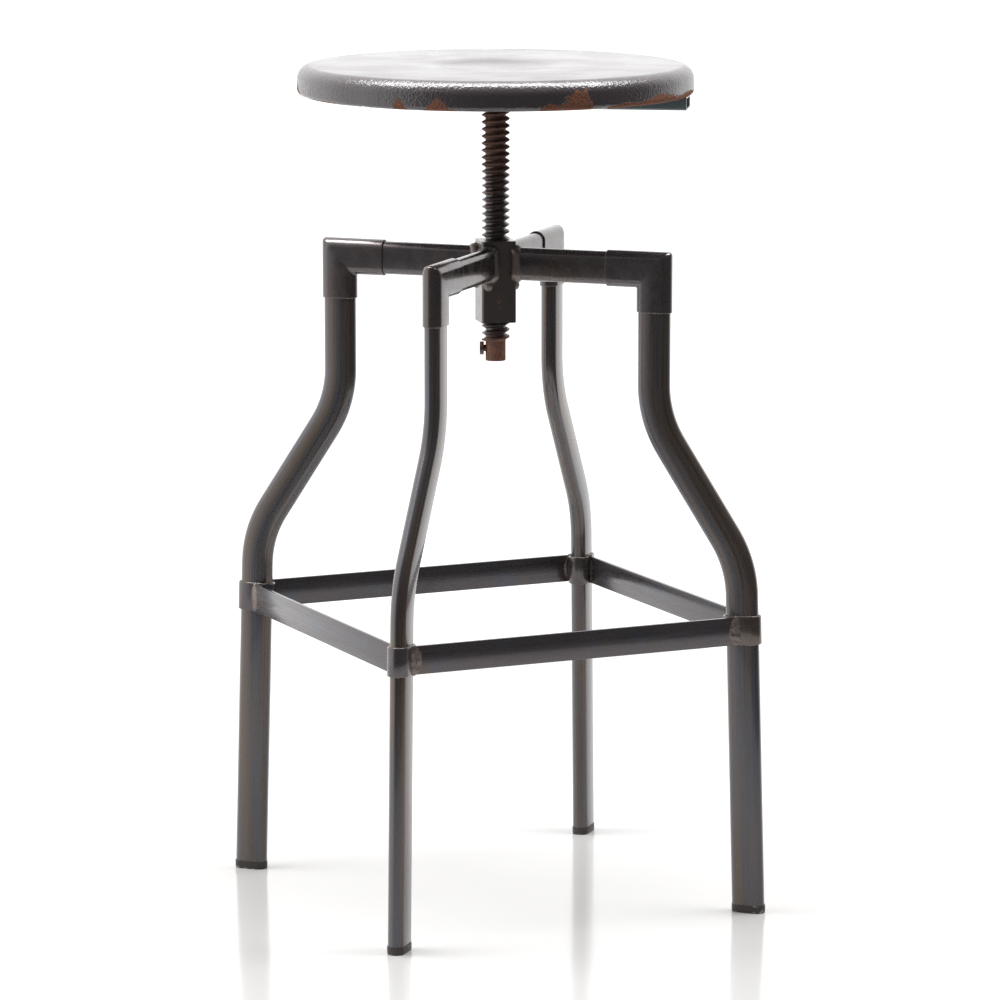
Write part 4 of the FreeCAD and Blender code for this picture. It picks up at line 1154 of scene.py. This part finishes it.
class STOOL_OT_stage(bpy.types.Operator):
    """Sets up the pale floor, the studio light and the camera"""

    bl_idname = "stool.stage"
    bl_label = "Stage"

    def execute(self, context):
        scene = context.scene
        stage = scene.stool_stage
        bpy.ops.object.select_all(action="DESELECT")
        bpy.ops.mesh.primitive_circle_add(vertices=128, radius=stage.floor_radius, fill_type="NGON")
        floor = context.object
        floor.name = "studio_floor"
        material, shader, tree = new_material("pale_studio_floor")
        put(tree, shader, Base_Color=opaque(scene.stool_colours.floor), Roughness=0.12)
        floor.data.materials.append(material)

        toward = Vector((math.sin(stage.azimuth), -math.cos(stage.azimuth), 0)) * math.cos(stage.elevation)
        toward.z = math.sin(stage.elevation)
        bpy.ops.object.camera_add(location=Vector(stage.aim) + toward * stage.distance)
        camera = context.object
        camera.rotation_euler = (-toward).to_track_quat("-Z", "Y").to_euler()
        camera.data.sensor_width = 36
        camera.data.lens = stage.lens
        camera.data.clip_end = 200
        scene.camera = camera

        world = bpy.data.worlds.new("studio")
        world.use_nodes = True
        tree = world.node_tree
        tree.nodes.clear()
        where = add_node(tree, "ShaderNodeTexCoord", {}, output="Generated")
        away = stage.azimuth + stage.swing
        bright = (-math.sin(away), math.cos(away), 0)
        facing = add_node(
            tree, "ShaderNodeVectorMath", {0: where, 1: bright}, output="Value", operation="DOT_PRODUCT"
        )
        # The light rises between these cosines of the angle from the bright side's middle
        dark_until, bright_from = -0.35, 0.1
        strength = ramp(tree, facing, dark_until, bright_from, stage.dark, stage.bright)
        seen = add_node(tree, "ShaderNodeLightPath", {}, output="Is Camera Ray")
        strength = add_node(tree, "ShaderNodeMath", {0: strength, 1: seen}, operation="MAXIMUM")
        light = add_node(tree, "ShaderNodeBackground", {"Color": (1, 1, 1, 1), "Strength": strength})
        output = tree.nodes.new("ShaderNodeOutputWorld")
        tree.links.new(light, output.inputs["Surface"])
        scene.world = world

        place, turn = (0, 0, stage.strip_level), (0, 0, stage.azimuth)
        bpy.ops.object.light_add(type="AREA", location=place, rotation=turn)
        strip = context.object
        strip.name = "overhead_strip"
        strip.data.shape = "RECTANGLE"
        strip.data.size = stage.strip_length
        strip.data.size_y = stage.strip_width
        strip.data.energy = stage.overhead
        scene.view_settings.view_transform = "Standard"
        return {"FINISHED"}


STEPS = [
    STOOL_OT_stage,
    STOOL_OT_seat,
    STOOL_OT_socket,
    STOOL_OT_turned_parts,
    STOOL_OT_stop_screw,
    STOOL_OT_arms,
    STOOL_OT_elbows,
    STOOL_OT_legs,
    STOOL_OT_foot_caps,
    STOOL_OT_footrest,
    STOOL_OT_footrest_welds,
    STOOL_OT_hub_welds,
]


class VIEW3D_PT_stool(bpy.types.Panel):
    """Lists the stool's steps, sizes and colours."""

    bl_label = "Machinist stool"
    bl_space_type = "VIEW_3D"
    bl_region_type = "UI"
    bl_category = "Stool"

    def draw(self, context):
        for step in STEPS:
            self.layout.operator(step.bl_idname)
        for name in SETTINGS:
            settings = getattr(context.scene, name)
            box = self.layout.box()
            box.label(text=name.replace("_", " ").capitalize())
            for key in settings.bl_rna.properties.keys():
                if key not in ("rna_type", "name"):
                    box.prop(settings, key)


def register():
    for kind in (*SETTINGS.values(), *STEPS, VIEW3D_PT_stool):
        bpy.utils.register_class(kind)
    for name, kind in SETTINGS.items():
        setattr(bpy.types.Scene, name, PointerProperty(type=kind))


def unregister():
    for name in SETTINGS:
        delattr(bpy.types.Scene, name)
    for kind in reversed((*SETTINGS.values(), *STEPS, VIEW3D_PT_stool)):
        bpy.utils.unregister_class(kind)


def main():
    register()
    for step in STEPS:
        group, name = step.bl_idname.split(".")
        getattr(getattr(bpy.ops, group), name)()


if __name__ == "__main__":
    main()
